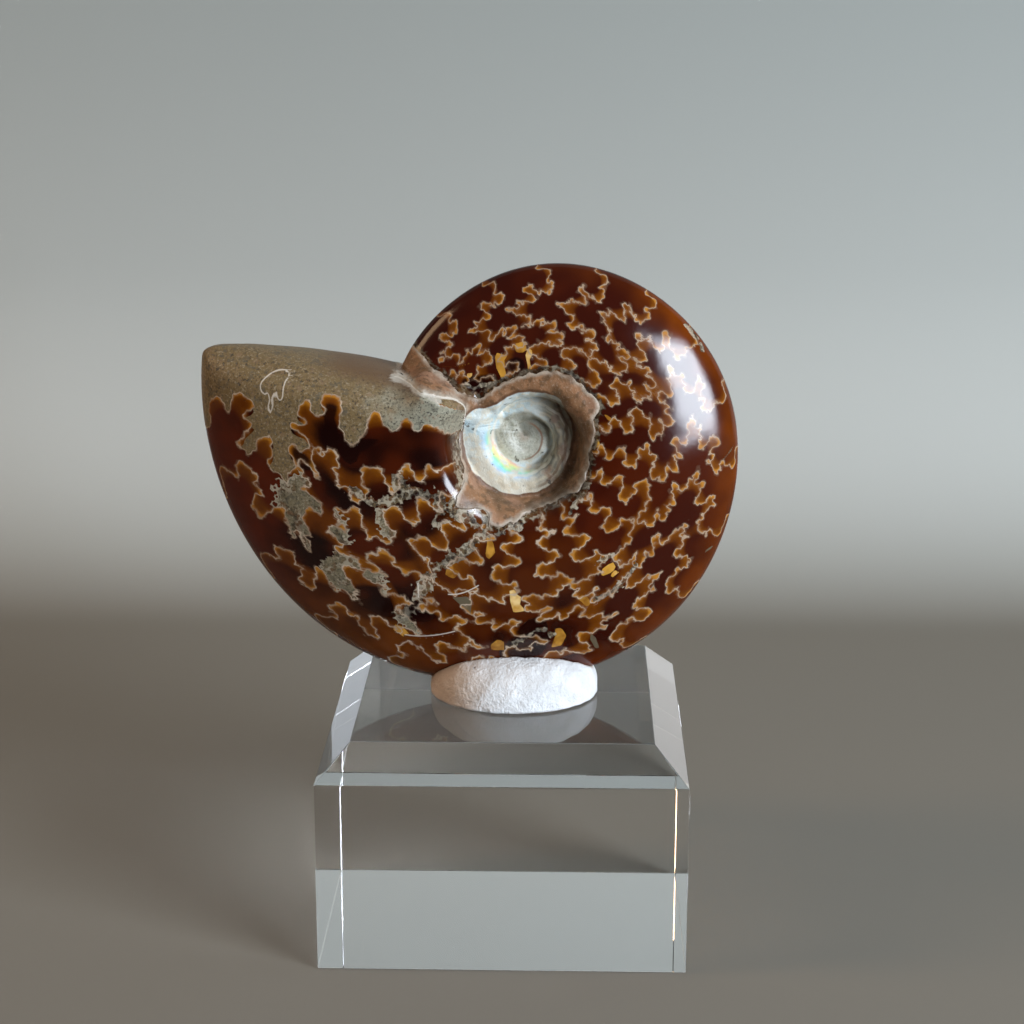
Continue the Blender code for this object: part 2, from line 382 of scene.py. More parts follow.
# the last suture, beyond which the body chamber is filled with stone
lastSuture = (
    (181.5, 1.03), (181.5, 0.985), (183, 0.970), (186.2, 0.970), (187.6, 0.955), (188, 0.930),
    (187, 0.918), (185.6, 0.905), (187.2, 0.896), (189.5, 0.886), (190.1, 0.860),
    (189.6, 0.836), (188.6, 0.820), (187.5, 0.830), (186.8, 0.846), (185.6, 0.860),
    (185.1, 0.846), (184.8, 0.822), (183.6, 0.836), (182.1, 0.860), (181, 0.868),
    (180, 0.890), (179, 0.884), (178.6, 0.869), (177.4, 0.864), (178.1, 0.846),
    (179, 0.830), (180.6, 0.826), (181.5, 0.810), (182, 0.790), (182.7, 0.776),
    (181.2, 0.770), (180, 0.780), (179, 0.776), (177.5, 0.786), (176.4, 0.800),
    (174.6, 0.796), (174, 0.780), (173.4, 0.768), (171, 0.761), (171.6, 0.750),
    (173.6, 0.745), (174.1, 0.730), (175.2, 0.714), (177.6, 0.716), (178.6, 0.722),
    (180.2, 0.722), (181.3, 0.714), (181.5, 0.700), (180.4, 0.694), (179.4, 0.688),
    (179.9, 0.668), (181, 0.654), (182.1, 0.650), (183, 0.660), (184, 0.667),
    (184.5, 0.690), (185.4, 0.707), (186.5, 0.700), (186.5, 0.670), (187.1, 0.655),
    (188.1, 0.666), (188.8, 0.685), (190.4, 0.680), (191.3, 0.684), (191.6, 0.671),
    (193.1, 0.662), (193, 0.652), (191.9, 0.644), (190.4, 0.640), (189.8, 0.622),
    (190.5, 0.606), (192.1, 0.601), (193.2, 0.611), (195.2, 0.612), (196.1, 0.598),
    (196.4, 0.580), (195.9, 0.562), (194.2, 0.552), (190, 0.557), (187, 0.556),
    (186.1, 0.541), (184.2, 0.546), (183, 0.531), (182.2, 0.520), (183.6, 0.506),
    (185.5, 0.496), (187.1, 0.480), (190, 0.478), (192.1, 0.470), (195.2, 0.465),
    (196.2, 0.452), (195.4, 0.436), (193.5, 0.431), (192.1, 0.424), (190.5, 0.411),
    (189.7, 0.400), (190.6, 0.388), (192.2, 0.380), (195.1, 0.375), (196.7, 0.364),
    (196.4, 0.350), (194.9, 0.344), (193.2, 0.339), (192.3, 0.328), (194, 0.316),
    (196.6, 0.311), (197.6, 0.300), (196.2, 0.286), (196.8, 0.270), (195.1, 0.260),
    (193.6, 0.250), (193, 0.237), (192, 0.224), (193, 0.205),
)
# the lip where the last whorl's stone meets the ramp down to the umbilicus
innerLip = (
    (190, 0.203), (197, 0.200), (205, 0.201), (211, 0.207), (214, 0.220),
    (215, 0.240), (214.6, 0.260), (213, 0.285), (211, 0.320), (209, 0.365),
    (207.5, 0.400), (206.5, 0.432),
)
beyondTheEnd = ((207.5, 0.60), (206, 0.90), (198, 1.10), (186, 1.10))
# ragged edge of the shell layer left round the umbilicus, then up the ramp
rindEdge = (
    (-151.5, 1.04), (-142, 1.04), (-141.6, 0.90), (-142.4, 0.80), (-141.2, 0.70),
    (-141, 0.60), (-140.2, 0.52), (-137.5, 0.455), (-134, 0.436), (-130, 0.438),
    (-126, 0.425), (-121, 0.436), (-117, 0.422), (-111, 0.424), (-106, 0.412),
    (-100, 0.422), (-95, 0.418), (-90, 0.430), (-85, 0.420), (-80, 0.432),
    (-74, 0.428), (-70, 0.444), (-66, 0.436), (-60, 0.446), (-55, 0.430),
    (-50, 0.436), (-44, 0.420), (-39, 0.424), (-34, 0.416), (-30, 0.402),
    (-27, 0.380), (-24, 0.350), (-20, 0.338), (-14, 0.330), (-8, 0.312),
    (-2, 0.300), (4, 0.286), (10, 0.283), (16, 0.292), (23, 0.286),
    (30, 0.294), (36, 0.288), (43, 0.288), (48, 0.272), (53, 0.258),
    (60, 0.250), (67, 0.252), (74, 0.249), (82, 0.251), (90, 0.254),
    (95, 0.258), (97.5, 0.273), (101, 0.284), (104, 0.280), (108, 0.296),
    (112, 0.306), (115, 0.300), (118, 0.316), (119, 0.290), (121, 0.268),
    (126, 0.262), (131, 0.267), (135, 0.282), (139, 0.296), (143, 0.306),
    (145, 0.290), (148, 0.276), (150, 0.254), (153, 0.234), (160, 0.224),
    (172, 0.217), (182, 0.212), (190, 0.207),
)
nacreEdge = (
    (-156, 0.470), (-151, 0.455), (-146, 0.425), (-140, 0.370), (-130, 0.340),
    (-115, 0.333), (-100, 0.322), (-85, 0.312), (-70, 0.306), (-57, 0.300),
    (-50, 0.272), (-40, 0.246), (-25, 0.226), (0, 0.203), (30, 0.192),
    (60, 0.200), (90, 0.206), (120, 0.210), (150, 0.207), (180, 0.202),
    (195, 0.199),
)
# flat golden patches where the infill shows through: brightness, then the outline
goldPatches = (
    (0.75, ((-112.5, 0.455), (-113, 0.52), (-111, 0.585), (-109, 0.60), (-107, 0.583),
            (-103, 0.557), (-106, 0.54), (-107, 0.50), (-107.5, 0.455), (-106.5, 0.43),
            (-110, 0.44))),
    (0.55, ((-98, 0.56), (-98.5, 0.59), (-97.5, 0.61), (-92, 0.61), (-91.5, 0.56),
            (-93.5, 0.545), (-96, 0.55))),
    (0.95, ((-92.5, 0.53), (-91, 0.56), (-88.5, 0.555), (-88, 0.53), (-89.5, 0.50),
            (-89, 0.47), (-87.5, 0.45), (-89.5, 0.43), (-91, 0.43), (-91.3, 0.47))),
    (0.95, ((-133, 0.595), (-131, 0.615), (-129.5, 0.60), (-128, 0.595), (-129.5, 0.58),
            (-131.5, 0.58))),
    (0.80, ((-138.7, 0.77), (-135.5, 0.715), (-131.5, 0.675), (-127.5, 0.65), (-123, 0.638),
            (-127.5, 0.655), (-131.8, 0.683), (-135.8, 0.725))),
    (0.85, ((54.5, 0.652), (58, 0.650), (58, 0.636), (55.5, 0.630))),
    (0.80, ((54, 0.60), (54.5, 0.625), (57, 0.630), (60.5, 0.617), (61, 0.605),
            (59, 0.590), (56, 0.592))),
    (0.50, ((69, 0.655), (68.5, 0.69), (70, 0.70), (71, 0.69), (71.5, 0.67), (72.5, 0.65),
            (70.5, 0.64))),
    (0.60, ((80, 0.75), (79, 0.79), (80, 0.81), (81, 0.83), (84, 0.83), (83, 0.80),
            (82, 0.77), (82, 0.745))),
    (0.85, ((-8.5, 0.333), (-3, 0.337), (-0.5, 0.336), (0, 0.315), (-1, 0.310),
            (-7.5, 0.325))),
    (0.50, ((-23.5, 0.415), (-18, 0.436), (-18.5, 0.410), (-24.5, 0.402))),
    (1.00, ((91, 0.64), (93, 0.643), (95, 0.645), (96.5, 0.60), (97.5, 0.55),
            (95.5, 0.545), (94, 0.57), (92.5, 0.58), (93, 0.61))),
    (0.50, ((96.5, 0.815), (100, 0.815), (100.5, 0.79), (99, 0.765), (97, 0.77))),
    (0.60, ((107.5, 0.40), (109.5, 0.43), (112, 0.415), (113.5, 0.37), (115.5, 0.343),
            (113, 0.34), (110, 0.365))),
    (0.45, ((118, 0.50), (119.5, 0.535), (123, 0.535), (124, 0.51), (122, 0.50))),
    (-0.60, ((107.5, 0.69), (109, 0.655), (112, 0.637), (116.5, 0.610), (112, 0.590),
             (109.8, 0.605), (109, 0.645))),
    (-0.90, ((111, 0.745), (116, 0.790), (121, 0.825), (122.5, 0.832), (119, 0.800),
             (114, 0.765))),
    (-0.90, ((71.5, 0.91), (72.6, 0.90), (73, 0.85), (72.3, 0.82), (71.4, 0.85))),
    (-0.70, ((1, 0.985), (3, 0.965), (6, 0.920), (5.4, 0.918), (3.6, 0.945))),
    (-0.80, ((30, 0.972), (31.5, 0.965), (33.4, 0.940), (32.2, 0.942))),
    (0.70, ((121.5, 0.815), (122.5, 0.838), (124, 0.825), (125.5, 0.830), (126, 0.800),
            (124, 0.795))),
)
# fractures filled with fine crystals: half width as a share of the radius, then the line
crystalVeins = (
    (0.032, ((126, 0.76), (124.5, 0.70), (126, 0.64), (127.5, 0.58), (127, 0.53),
             (124, 0.47), (121.5, 0.42), (120, 0.36), (121, 0.30))),
    (0.020, ((168, 0.565), (163.5, 0.53), (160.5, 0.50), (160, 0.45), (160.5, 0.40))),
    (0.034, ((168, 0.405), (163, 0.395), (158, 0.36), (152, 0.325), (146, 0.35),
             (142, 0.375))),
    (0.024, ((97, 0.285), (104, 0.31), (112, 0.33), (120, 0.33), (130, 0.305),
             (142, 0.32))),
    (0.020, ((-138, 0.60), (-134, 0.51), (-128, 0.49), (-120, 0.455), (-108, 0.440))),
    (0.016, ((49, 0.685), (54, 0.69), (60, 0.70), (67, 0.685))),
    (0.014, ((52, 0.575), (57, 0.56), (61, 0.555))),
    (0.012, ((30, 0.315), (44, 0.31), (52, 0.305), (57, 0.315))),
    (0.016, ((83, 0.77), (86, 0.735), (91, 0.76), (95, 0.79))),
    (0.014, ((-37, 0.99), (-32, 0.985), (-28, 0.975))),
    (0.012, ((-88, 0.435), (-76, 0.455), (-62, 0.455), (-52, 0.445), (-40, 0.43))),
)
# chambers so deep that they look black
darkPatches = (
    ((-106.5, 0.46), (-106.5, 0.52), (-102, 0.545), (-97, 0.535), (-93, 0.50),
     (-92.5, 0.45), (-99, 0.442)),
    ((-139, 0.58), (-136, 0.62), (-126, 0.55), (-116, 0.50), (-113.5, 0.46), (-122, 0.445),
     (-136, 0.47)),
    ((84, 0.70), (86, 0.86), (96, 0.86), (98, 0.82), (94, 0.74), (90, 0.68)),
    ((174.5, 0.70), (177, 0.715), (180.5, 0.712), (181, 0.700), (177, 0.66), (174.5, 0.66)),
    ((186, 0.43), (180, 0.50), (176, 0.54), (186, 0.60), (194, 0.60), (194, 0.565),
     (186, 0.56)),
)
# thin white shell lines on the stone
looseFragment = (
    (187.4, 0.772), (189, 0.775), (190.5, 0.770), (192, 0.776), (191.5, 0.790),
    (192.6, 0.800), (194, 0.796), (196, 0.772), (197.3, 0.745), (197.6, 0.725),
    (196.5, 0.720), (195.5, 0.727), (194, 0.730), (192.4, 0.730), (191.2, 0.735),
    (191.6, 0.746), (193, 0.751), (191.5, 0.760), (189.5, 0.760),
)
# a painted highlight: the broad pale streak along the lip's ridge
lipRidgeHighlight = ((206.2, 0.436), (207.6, 0.395), (209.1, 0.355), (210.6, 0.322), (211.8, 0.285))
boneLines = (
    ((109.5, 0.535), (112.5, 0.567), (115.5, 0.590), (118.5, 0.602)),
    ((111, 0.745), (114.5, 0.775), (119, 0.808), (122.5, 0.825)),
    ((125.5, 0.66), (127.2, 0.63), (129, 0.605)),
)
# lobes filled with stone, by the number of the suture that bounds them
stoneLobes = (
    (17, ((150, 0.84), (163, 0.835), (169.5, 0.805), (172, 0.775), (171, 0.75),
          (173.5, 0.725), (174, 0.70), (170, 0.66), (160, 0.63), (150, 0.66))),
    (16, ((132, 0.83), (147, 0.82), (151.5, 0.79), (151.5, 0.75), (153.5, 0.72),
          (155, 0.69), (150, 0.655), (138, 0.66), (132, 0.72))),
    (16, ((141, 0.56), (150, 0.545), (156, 0.53), (159, 0.51), (156, 0.49),
          (150, 0.47), (142, 0.49))),
    (15, ((117, 0.80), (122, 0.80), (126.5, 0.78), (127, 0.75), (121, 0.745),
          (117, 0.76))),
)


def smoothLine(points, steps, closed=False, roundness=1.0):
    path = np.array(points, float)
    count = len(path)
    index = np.arange(count if closed else count - 1)
    if closed:
        before, after, beyond = path[index - 1], path[(index + 1) % count], path[(index + 2) % count]
    else:
        before = path[np.maximum(index - 1, 0)]
        after = path[index + 1]
        beyond = path[np.minimum(index + 2, count - 1)]
    here = path[index]
    leaving = (after - before) * 0.5 * roundness
    arriving = (beyond - here) * 0.5 * roundness
    drawn = []
    for part in np.arange(steps) / steps:
        square, cube = part ** 2, part ** 3
        drawn.append(
            here * (2.0 * cube - 3.0 * square + 1.0) + after * (3.0 * square - 2.0 * cube)
            + leaving * (cube - 2.0 * square + part) + arriving * (cube - square)
        )
    line = np.stack(drawn, 1).reshape(-1, 2)
    return line if closed else np.vstack([line, path[-1]])


def onSpiral(turns):
    turn = np.radians(turns[:, 0])
    radius = turns[:, 1] * venterRadius(turn, startRadius, shell["Growth"])
    return np.stack([coilX + radius * np.cos(turn), coilZ - radius * np.sin(turn)], 1)


def lineDistance(spots, line, closed=False):
    nearest = np.full(len(spots), 1.0)
    ends = np.roll(line, -1, 0) if closed else line[1:]
    for first, last in zip(line, ends):
        along = last - first
        part = np.clip(((spots - first) @ along) / max(along @ along, 1e-18), 0.0, 1.0)
        gap = np.hypot(*(spots - first - part[:, None] * along).T)
        nearest = np.minimum(nearest, gap)
    return nearest


# distance from an open line, with a sign for its side, and how far from its ends
def besideLine(spots, line):
    nearest = np.full(len(spots), 1.0)
    signed = np.full(len(spots), 1.0)
    inside = np.full(len(spots), -1.0)
    lengths = np.hypot(*np.diff(line, axis=0).T)
    total, passed = lengths.sum(), 0.0
    for first, last, length in zip(line, line[1:], lengths):
        way = (last - first) / length
        along = (spots - first) @ way
        gap = np.hypot(*(spots - first - np.clip(along, 0.0, length)[:, None] * way).T)
        side = np.sign((spots[:, 0] - first[0]) * way[1] - (spots[:, 1] - first[1]) * way[0])
        closer = gap < nearest
        nearest = np.where(closer, gap, nearest)
        signed = np.where(closer, gap * side, signed)
        inside = np.where(closer, np.minimum(passed + along, total - passed - along), inside)
        passed += length
    return signed, inside


def insideLoop(spots, loop):
    crossings = np.zeros(len(spots), int)
    for (firstX, firstZ), (lastX, lastZ) in zip(loop, np.roll(loop, -1, 0)):
        spans = (firstZ <= spots[:, 1]) != (lastZ <= spots[:, 1])
        reach = (spots[:, 1] - firstZ) / (lastZ - firstZ if lastZ != firstZ else 1.0)
        crossings += spans & (spots[:, 0] < firstX + reach * (lastX - firstX))
    return crossings % 2 == 1


# how deep a point lies inside a loop, negative outside it, and no more than 3 mm either way
def depthInLoop(spots, loop):
    low, high = loop.min(0) - 0.003, loop.max(0) + 0.003
    near = ((spots > low) & (spots < high)).all(1)
    depth = np.full(len(spots), -0.003)
    gap = np.minimum(lineDistance(spots[near], loop, True), 0.003)
    depth[near] = np.where(insideLoop(spots[near], loop), gap, -gap)
    return depth


# thin lines: signed distance from the nearest, and a window that ends each line at its ends
def thinLines(spots, lines):
    gap = np.full(len(spots), 0.9)
    window = np.full(len(spots), -1.0)
    for line, closed in lines:
        low, high = line.min(0) - 0.0012, line.max(0) + 0.0012
        near = np.flatnonzero(((spots > low) & (spots < high)).all(1))
        if closed:
            signed, inside = depthInLoop(spots[near], line), np.full(len(near), 1.0)
        else:
            signed, inside = besideLine(spots[near], line)
        signed, inside = signed / mm, inside / mm
        closer = np.abs(signed) < np.abs(gap[near])
        gap[near[closer]] = signed[closer]
        window[near[closer]] = np.minimum(inside, 0.8 - np.abs(signed))[closer]
    return gap, window


def ripple(spots, wavelength, seed, waves=14):
    chance = np.random.default_rng(seed)
    total = np.zeros(len(spots))
    for _ in range(waves):
        way = chance.normal(size=3)
        way *= chance.uniform(0.7, 1.4) / np.linalg.norm(way)
        total += np.sin(spots @ way * (math.tau / wavelength) + chance.uniform(0.0, math.tau))
    return total / math.sqrt(waves / 2)


# each suture line has its own small differences, and is alike at the outer edge on both flanks
def sutureLines(seed):
    chance = np.random.default_rng(seed)
    lines = []
    for tip in sutureTips:
        line = smoothLine(suturePath, 3, roundness=0.6)
        share = line[:, 1]
        free = 1.0 - ease(0.90, 1.0, share)
        middle = np.interp(share, *zip(*sutureMiddle))
        stretch = chance.uniform(-0.08, 0.08)
        narrow = np.interp(tip, (-60.0, 0.0), (1.0, 0.0)) * (0.10 + 0.14 * ease(0.80, 0.90, share))
        sway = sum(
            chance.uniform(0.2, 0.5) * np.sin(math.tau * wave * share + chance.uniform(0.0, math.tau))
            for wave in (1.5, 3.1, 6.3, 11.0)
        )
        lift = sum(
            0.0022 * np.sin(math.tau * wave * share + chance.uniform(0.0, math.tau))
            for wave in (2.3, 7.9)
        )
        frill = chance.normal(size=(2, len(line))) * ((0.28,), (0.0032,))
        angle = line[:, 0] * (1.0 - narrow) + free * ((line[:, 0] - middle) * stretch + sway + frill[0])
        lines.append(np.stack([tip + angle, share + free * (lift + frill[1])], 1))
    lines.append(smoothLine(lastSuture, 3, roundness=0.7))
    return lines


def pastSuture(angle, share, line):
    past = angle > line[:, 0].max()
    near = (angle >= line[:, 0].min()) & ~past
    if near.any():
        spots = np.stack([angle[near], share[near]], 1)
        top = np.array([[line[0, 0], 3.0], [500.0, 3.0], [500.0, -1.0], [line[-1, 0], -1.0]])
        past[near] = insideLoop(spots, np.vstack([line[::-1], top]))
    return past


# distance on the surface from the nearest suture line, and which one that is
def sutureDistance(spots, lines, tree, side):
    onShell, owner = [], []
    for number, line in enumerate(lines):
        for x, z in onSpiral(smoothLine(line, 3)):
            hit = tree.ray_cast((x, side * 0.05, z), (0.0, -side, 0.0))[0]
            if hit is not None:
                onShell.append(tuple(hit))
                owner.append(number)
    onShell, owner = np.array(onShell), np.array(owner)
    finder = KDTree(len(onShell))
    for number, spot in enumerate(onShell):
        finder.insert(spot, number)
    finder.balance()
    closest = np.array([finder.find(spot)[1] for spot in spots])
    gap = np.linalg.norm(onShell[closest] - spots, axis=1)
    for step in (-1, 1):
        other = np.clip(closest + step, 0, len(onShell) - 1)
        along = onShell[other] - onShell[closest]
        length = (along ** 2).sum(1)
        joined = (owner[other] == owner[closest]) & (length > 1e-18) & (length < 0.003 ** 2)
        part = ((spots - onShell[closest]) * along).sum(1) / np.maximum(length, 1e-18)
        foot = onShell[closest] + along * np.clip(part, 0.0, 1.0)[:, None]
        gap = np.where(joined, np.minimum(gap, np.linalg.norm(foot - spots, axis=1)), gap)
    return gap, owner[closest]


# the markings of one flank's points, in millimetres or from 0 to 1
def paintFlank(spots, angle, share, tree, side, shift):
    flat = spots[:, [0, 2]]
    lines = sutureLines(11 if side < 0 else 23)
    gap, nearest = sutureDistance(spots, lines, tree, side)
    past = np.array([pastSuture(angle, share, line) for line in lines])
    chamber = past.sum(0)
    even = np.where(chamber % 2 == 0, 1.0, -1.0)
    # stone in the body chamber, and in the lobes next to it, with the sign of their chamber
    behindLast = smoothLine(lastSuture, 3) - (1.2, 0.0)
    chamberLoop = np.vstack([
        behindLast, smoothLine(innerLip, 4) + (3.0, 0.0), np.array(beyondTheEnd, float),
    ])
    stone = depthInLoop(flat, onSpiral(chamberLoop)) / mm
    lobes = np.zeros(len(spots))
    for number, outline in stoneLobes:
        depth = depthInLoop(flat, onSpiral(np.array(outline, float))) / mm + 3.0
        sign = 1.0 if number % 2 == 1 else -1.0
        lobes = np.where(depth > np.abs(lobes), depth * sign, lobes)
    # patches and veins
    gold = np.full(len(spots), -3.0)
    goldLight = np.zeros(len(spots))
    for light, outline in goldPatches:
        depth = depthInLoop(flat, onSpiral(np.array(outline, float) + (shift, 0.0))) / mm
        goldLight = np.where(depth > gold, light, goldLight)
        gold = np.maximum(gold, depth)
    dark = np.full(len(spots), -3.0)
    for outline in darkPatches:
        moved = np.array(outline, float) + (shift * (outline[0][0] < 150.0), 0.0)
        dark = np.maximum(dark, depthInLoop(flat, onSpiral(smoothLine(moved, 2, True))) / mm)
    venter = venterRadius(np.radians(angle), startRadius, shell["Growth"])
    crystal = np.zeros(len(spots))
    for width, path in crystalVeins:
        moved = np.array(path, float) + (shift * (path[0][0] < 140.0 and path[0][1] > 0.4), 0.0)
        gapTo = lineDistance(flat, onSpiral(smoothLine(moved, 3)))
        crystal = np.maximum(crystal, 1.0 - gapTo / (width * venter))
    rindLoop = onSpiral(np.vstack([np.array(rindEdge, float), smoothLine(innerLip, 3)]))
    nacreLoop = onSpiral(smoothLine(nacreEdge, 3))
    # thin lines of shell
    thin = [(onSpiral(smoothLine(innerLip, 4)), False)]
    if side < 0:
        thin.append((onSpiral(smoothLine(looseFragment, 4, True)), True))
    for path in boneLines:
        moved = np.array(path, float) + (shift * (path[0][0] > 0.0), 0.0)
        thin.append((onSpiral(smoothLine(moved, 3)), False))
    trim, trimWindow = thinLines(flat, thin)
    tones = np.random.default_rng(5).uniform(-1.0, 1.0, len(lines) + 2)
    return {
        "suture": np.clip(gap / mm, 0.0, 3.0) * even,
        "facing": np.where(nearest % 2 == 0, -1.0, 1.0),
        "chamberSign": even,
        "stone": stone,
        "lobes": lobes,
        "gold": gold,
        "goldLight": goldLight,
        "dark": dark,
        "crystal": np.clip(crystal, 0.0, 1.0),
        "rind": depthInLoop(flat, rindLoop) / mm,
        "nacre": depthInLoop(flat, nacreLoop) / mm,
        # distance from the painted highlight along the lip
        "lip": lineDistance(flat, onSpiral(smoothLine(lipRidgeHighlight, 4))) / mm,
        "trim": trim,
        "trimWindow": trimWindow,
        "tone": tones[chamber],
    }


def readPoints(mesh):
    flat = np.empty(len(mesh.vertices) * 3)
    mesh.vertices.foreach_get("co", flat)
    return flat.reshape(-1, 3)


def readValues(mesh, name):
    values = np.empty(len(mesh.vertices))
    mesh.attributes[name].data.foreach_get("value", values)
    return values


def keepValues(mesh, name, values):
    attribute = mesh.attributes.get(name) or mesh.attributes.new(name, "FLOAT", "POINT")
    attribute.data.foreach_set("value", values.astype(np.float32))


# each round gives every point the mean of the faces round it
def softened(mesh, values, rounds):
    corners = np.empty(len(mesh.loops), np.int32)
    mesh.loops.foreach_get("vertex_index", corners)
    quads = corners.reshape(-1, 4)
    shares = np.bincount(corners)
    for _ in range(rounds):
        faceMeans = values[quads].mean(1)
        values = np.bincount(corners, np.repeat(faceMeans, 4)) / shares
    return values


def paintShell(piece):
    mesh = piece.data
    spots = readPoints(mesh)
    angle, share = readValues(mesh, "growthAngle"), readValues(mesh, "share")
    shape = bmesh.new()
    shape.from_mesh(mesh)
    tree = BVHTree.FromBMesh(shape)
    shape.free()
    back = spots[:, 1] > 1e-6
    marks = {}
    for side, shift, chosen in ((-1.0, 0.0, ~back), (1.0, -31.0, back)):
        painted = paintFlank(spots[chosen], angle[chosen], share[chosen], tree, side, shift)
        for name, values in painted.items():
            marks.setdefault(name, np.zeros(len(spots)))[chosen] = values
    chamberSign = marks.pop("chamberSign")
    marks["enclosed"] = softened(mesh, chamberSign, 10)
    normals = np.empty(len(spots) * 3)
    mesh.vertices.foreach_get("normal", normals)
    # painted shade: steep walls round the umbilicus, marked for a darker tint
    steep = ease(0.45, 0.80, 1.0 - np.abs(normals[1::3])) * (share < 0.62)
    marks["steep"] = softened(mesh, steep, 4)
    marks["sheltered"] = softened(mesh, marks["enclosed"], 60)
    for name, values in marks.items():
        keepValues(mesh, name, values)
    return marks


# each round gives every point the mean height of the points within reach
def calmedHeights(spots, reach, rounds):
    flat = spots * (1.0, 0.0, 1.0)
    finder = KDTree(len(flat))
    for number, spot in enumerate(flat):
        finder.insert(spot, number)
    finder.balance()
    groups = [[found[1] for found in finder.find_range(spot, reach)] for spot in flat]
    heights = spots[:, 1]
    for _ in range(rounds):
        heights = np.array([heights[group].mean() for group in groups])
    return heights


# worn hollows, the torn thickness of the outer shell, crystals, and the whorls' fine growth lines
def carveShell(piece, marks):
    mesh = piece.data
    spots = readPoints(mesh)
    share = readValues(mesh, "share")
    # the mesh leans over between the whorl's end and its heart, so its steep places are calmed there
    radius = np.hypot(spots[:, 0] - coilX, spots[:, 2] - coilZ)
    turn = np.degrees(np.arctan2(coilZ - spots[:, 2], spots[:, 0] - coilX)) % 360.0
    leaning = ease(192.0, 200.0, turn) * ease(226.0, 218.0, turn)
    leaning = leaning * ease(0.002, 0.004, radius) * ease(0.0175, 0.0150, radius)
    for side in (-1.0, 1.0):
        chosen = np.flatnonzero((leaning > 0.0) & (spots[:, 1] * side > 1e-6))
        calm = calmedHeights(spots[chosen], 0.0012, 3)
        spots[chosen, 1] += leaning[chosen] * (calm - spots[chosen, 1])
    mesh.vertices.foreach_set("co", spots.ravel())
    mesh.update()
    normals = np.empty(len(spots) * 3)
    mesh.vertices.foreach_get("normal", normals)
    normals = normals.reshape(-1, 3)
    flank = (1.0 - ease(0.86, 0.96, share)) * (1.0 - 0.85 * leaning)
    rind, crystal = marks["rind"], marks["crystal"]
    relief = 0.022 * ripple(spots, 0.009, 1) * flank * (1.0 - ease(-0.5, 0.5, rind))
    torn = ease(-0.05, 0.30, rind + 0.25 * ripple(spots, 0.0014, 2))
    worn = 0.10 * ripple(spots, 0.0035, 3) + 0.06 * ripple(spots, 0.0016, 4)
    relief = relief + torn * flank * (0.13 + 0.45 * worn)
    relief = relief + 0.035 * ease(0.35, 0.7, crystal) * ripple(spots, 0.0011, 5) * flank
    inner = ease(0.0, 0.6, marks["nacre"]) * ease(0.0, 0.004, radius)
    relief = relief + inner * 0.055 * ripple(spots, 0.0021, 6)
    spots = spots + normals * (relief * mm)[:, None]
    mesh.vertices.foreach_set("co", spots.ravel())
    mesh.update()


def named(tree, name):
    node = tree.nodes.new("ShaderNodeAttribute")
    node.attribute_name = name
    return Field(tree, node.outputs["Fac"])


def noise(where, scale, detail=4.0, roughness=0.55, distortion=0.0):
    return addNode(where.tree, "ShaderNodeTexNoise", {
        "Vector": where, "Scale": scale, "Detail": detail, "Roughness": roughness,
        "Distortion": distortion,
    })


def grains(where, scale):
    return addNode(where.tree, "ShaderNodeTexVoronoi", {"Vector": where, "Scale": scale}, "Distance")


def blend(amount, first, second):
    first, second = (
        value if isinstance(value, Field) else (*value, 1.0) for value in (first, second)
    )
    ends = {"Factor": amount, 6: first, 7: second}       # 6 and 7 are the colour sockets
    return addNode(amount.tree, "ShaderNodeMix", ends, 2, data_type="RGBA")


def colourRamp(amount, stops):
    node = amount.tree.nodes.new("ShaderNodeValToRGB")
    plug(amount.tree, amount, node.inputs[0])
    ramp = node.color_ramp
    while len(ramp.elements) < len(stops):
        ramp.elements.new(0.5)
    for element, (place, colour) in zip(ramp.elements, stops):
        element.position = place
        element.color = (*colour, 1.0)
    return Field(amount.tree, node.outputs[0])


def centred(where, centre, scale=(1.0, 1.0, 1.0)):
    location = [-part * size for part, size in zip(centre, scale)]
    return addNode(where.tree, "ShaderNodeMapping", {
        "Vector": where, "Location": location, "Scale": scale,
    })


def objectPlace(tree):
    return Field(tree, tree.nodes.new("ShaderNodeTexCoord").outputs["Object"])


def bumped(height, distance, strength):
    return addNode(height.tree, "ShaderNodeBump", {
        "Distance": distance, "Strength": strength, "Height": height,
    })


def freshMaterial(name):
    material = bpy.data.materials.new(name)
    material.use_nodes = True
    tree = material.node_tree
    return material, tree, tree.nodes["Principled BSDF"]


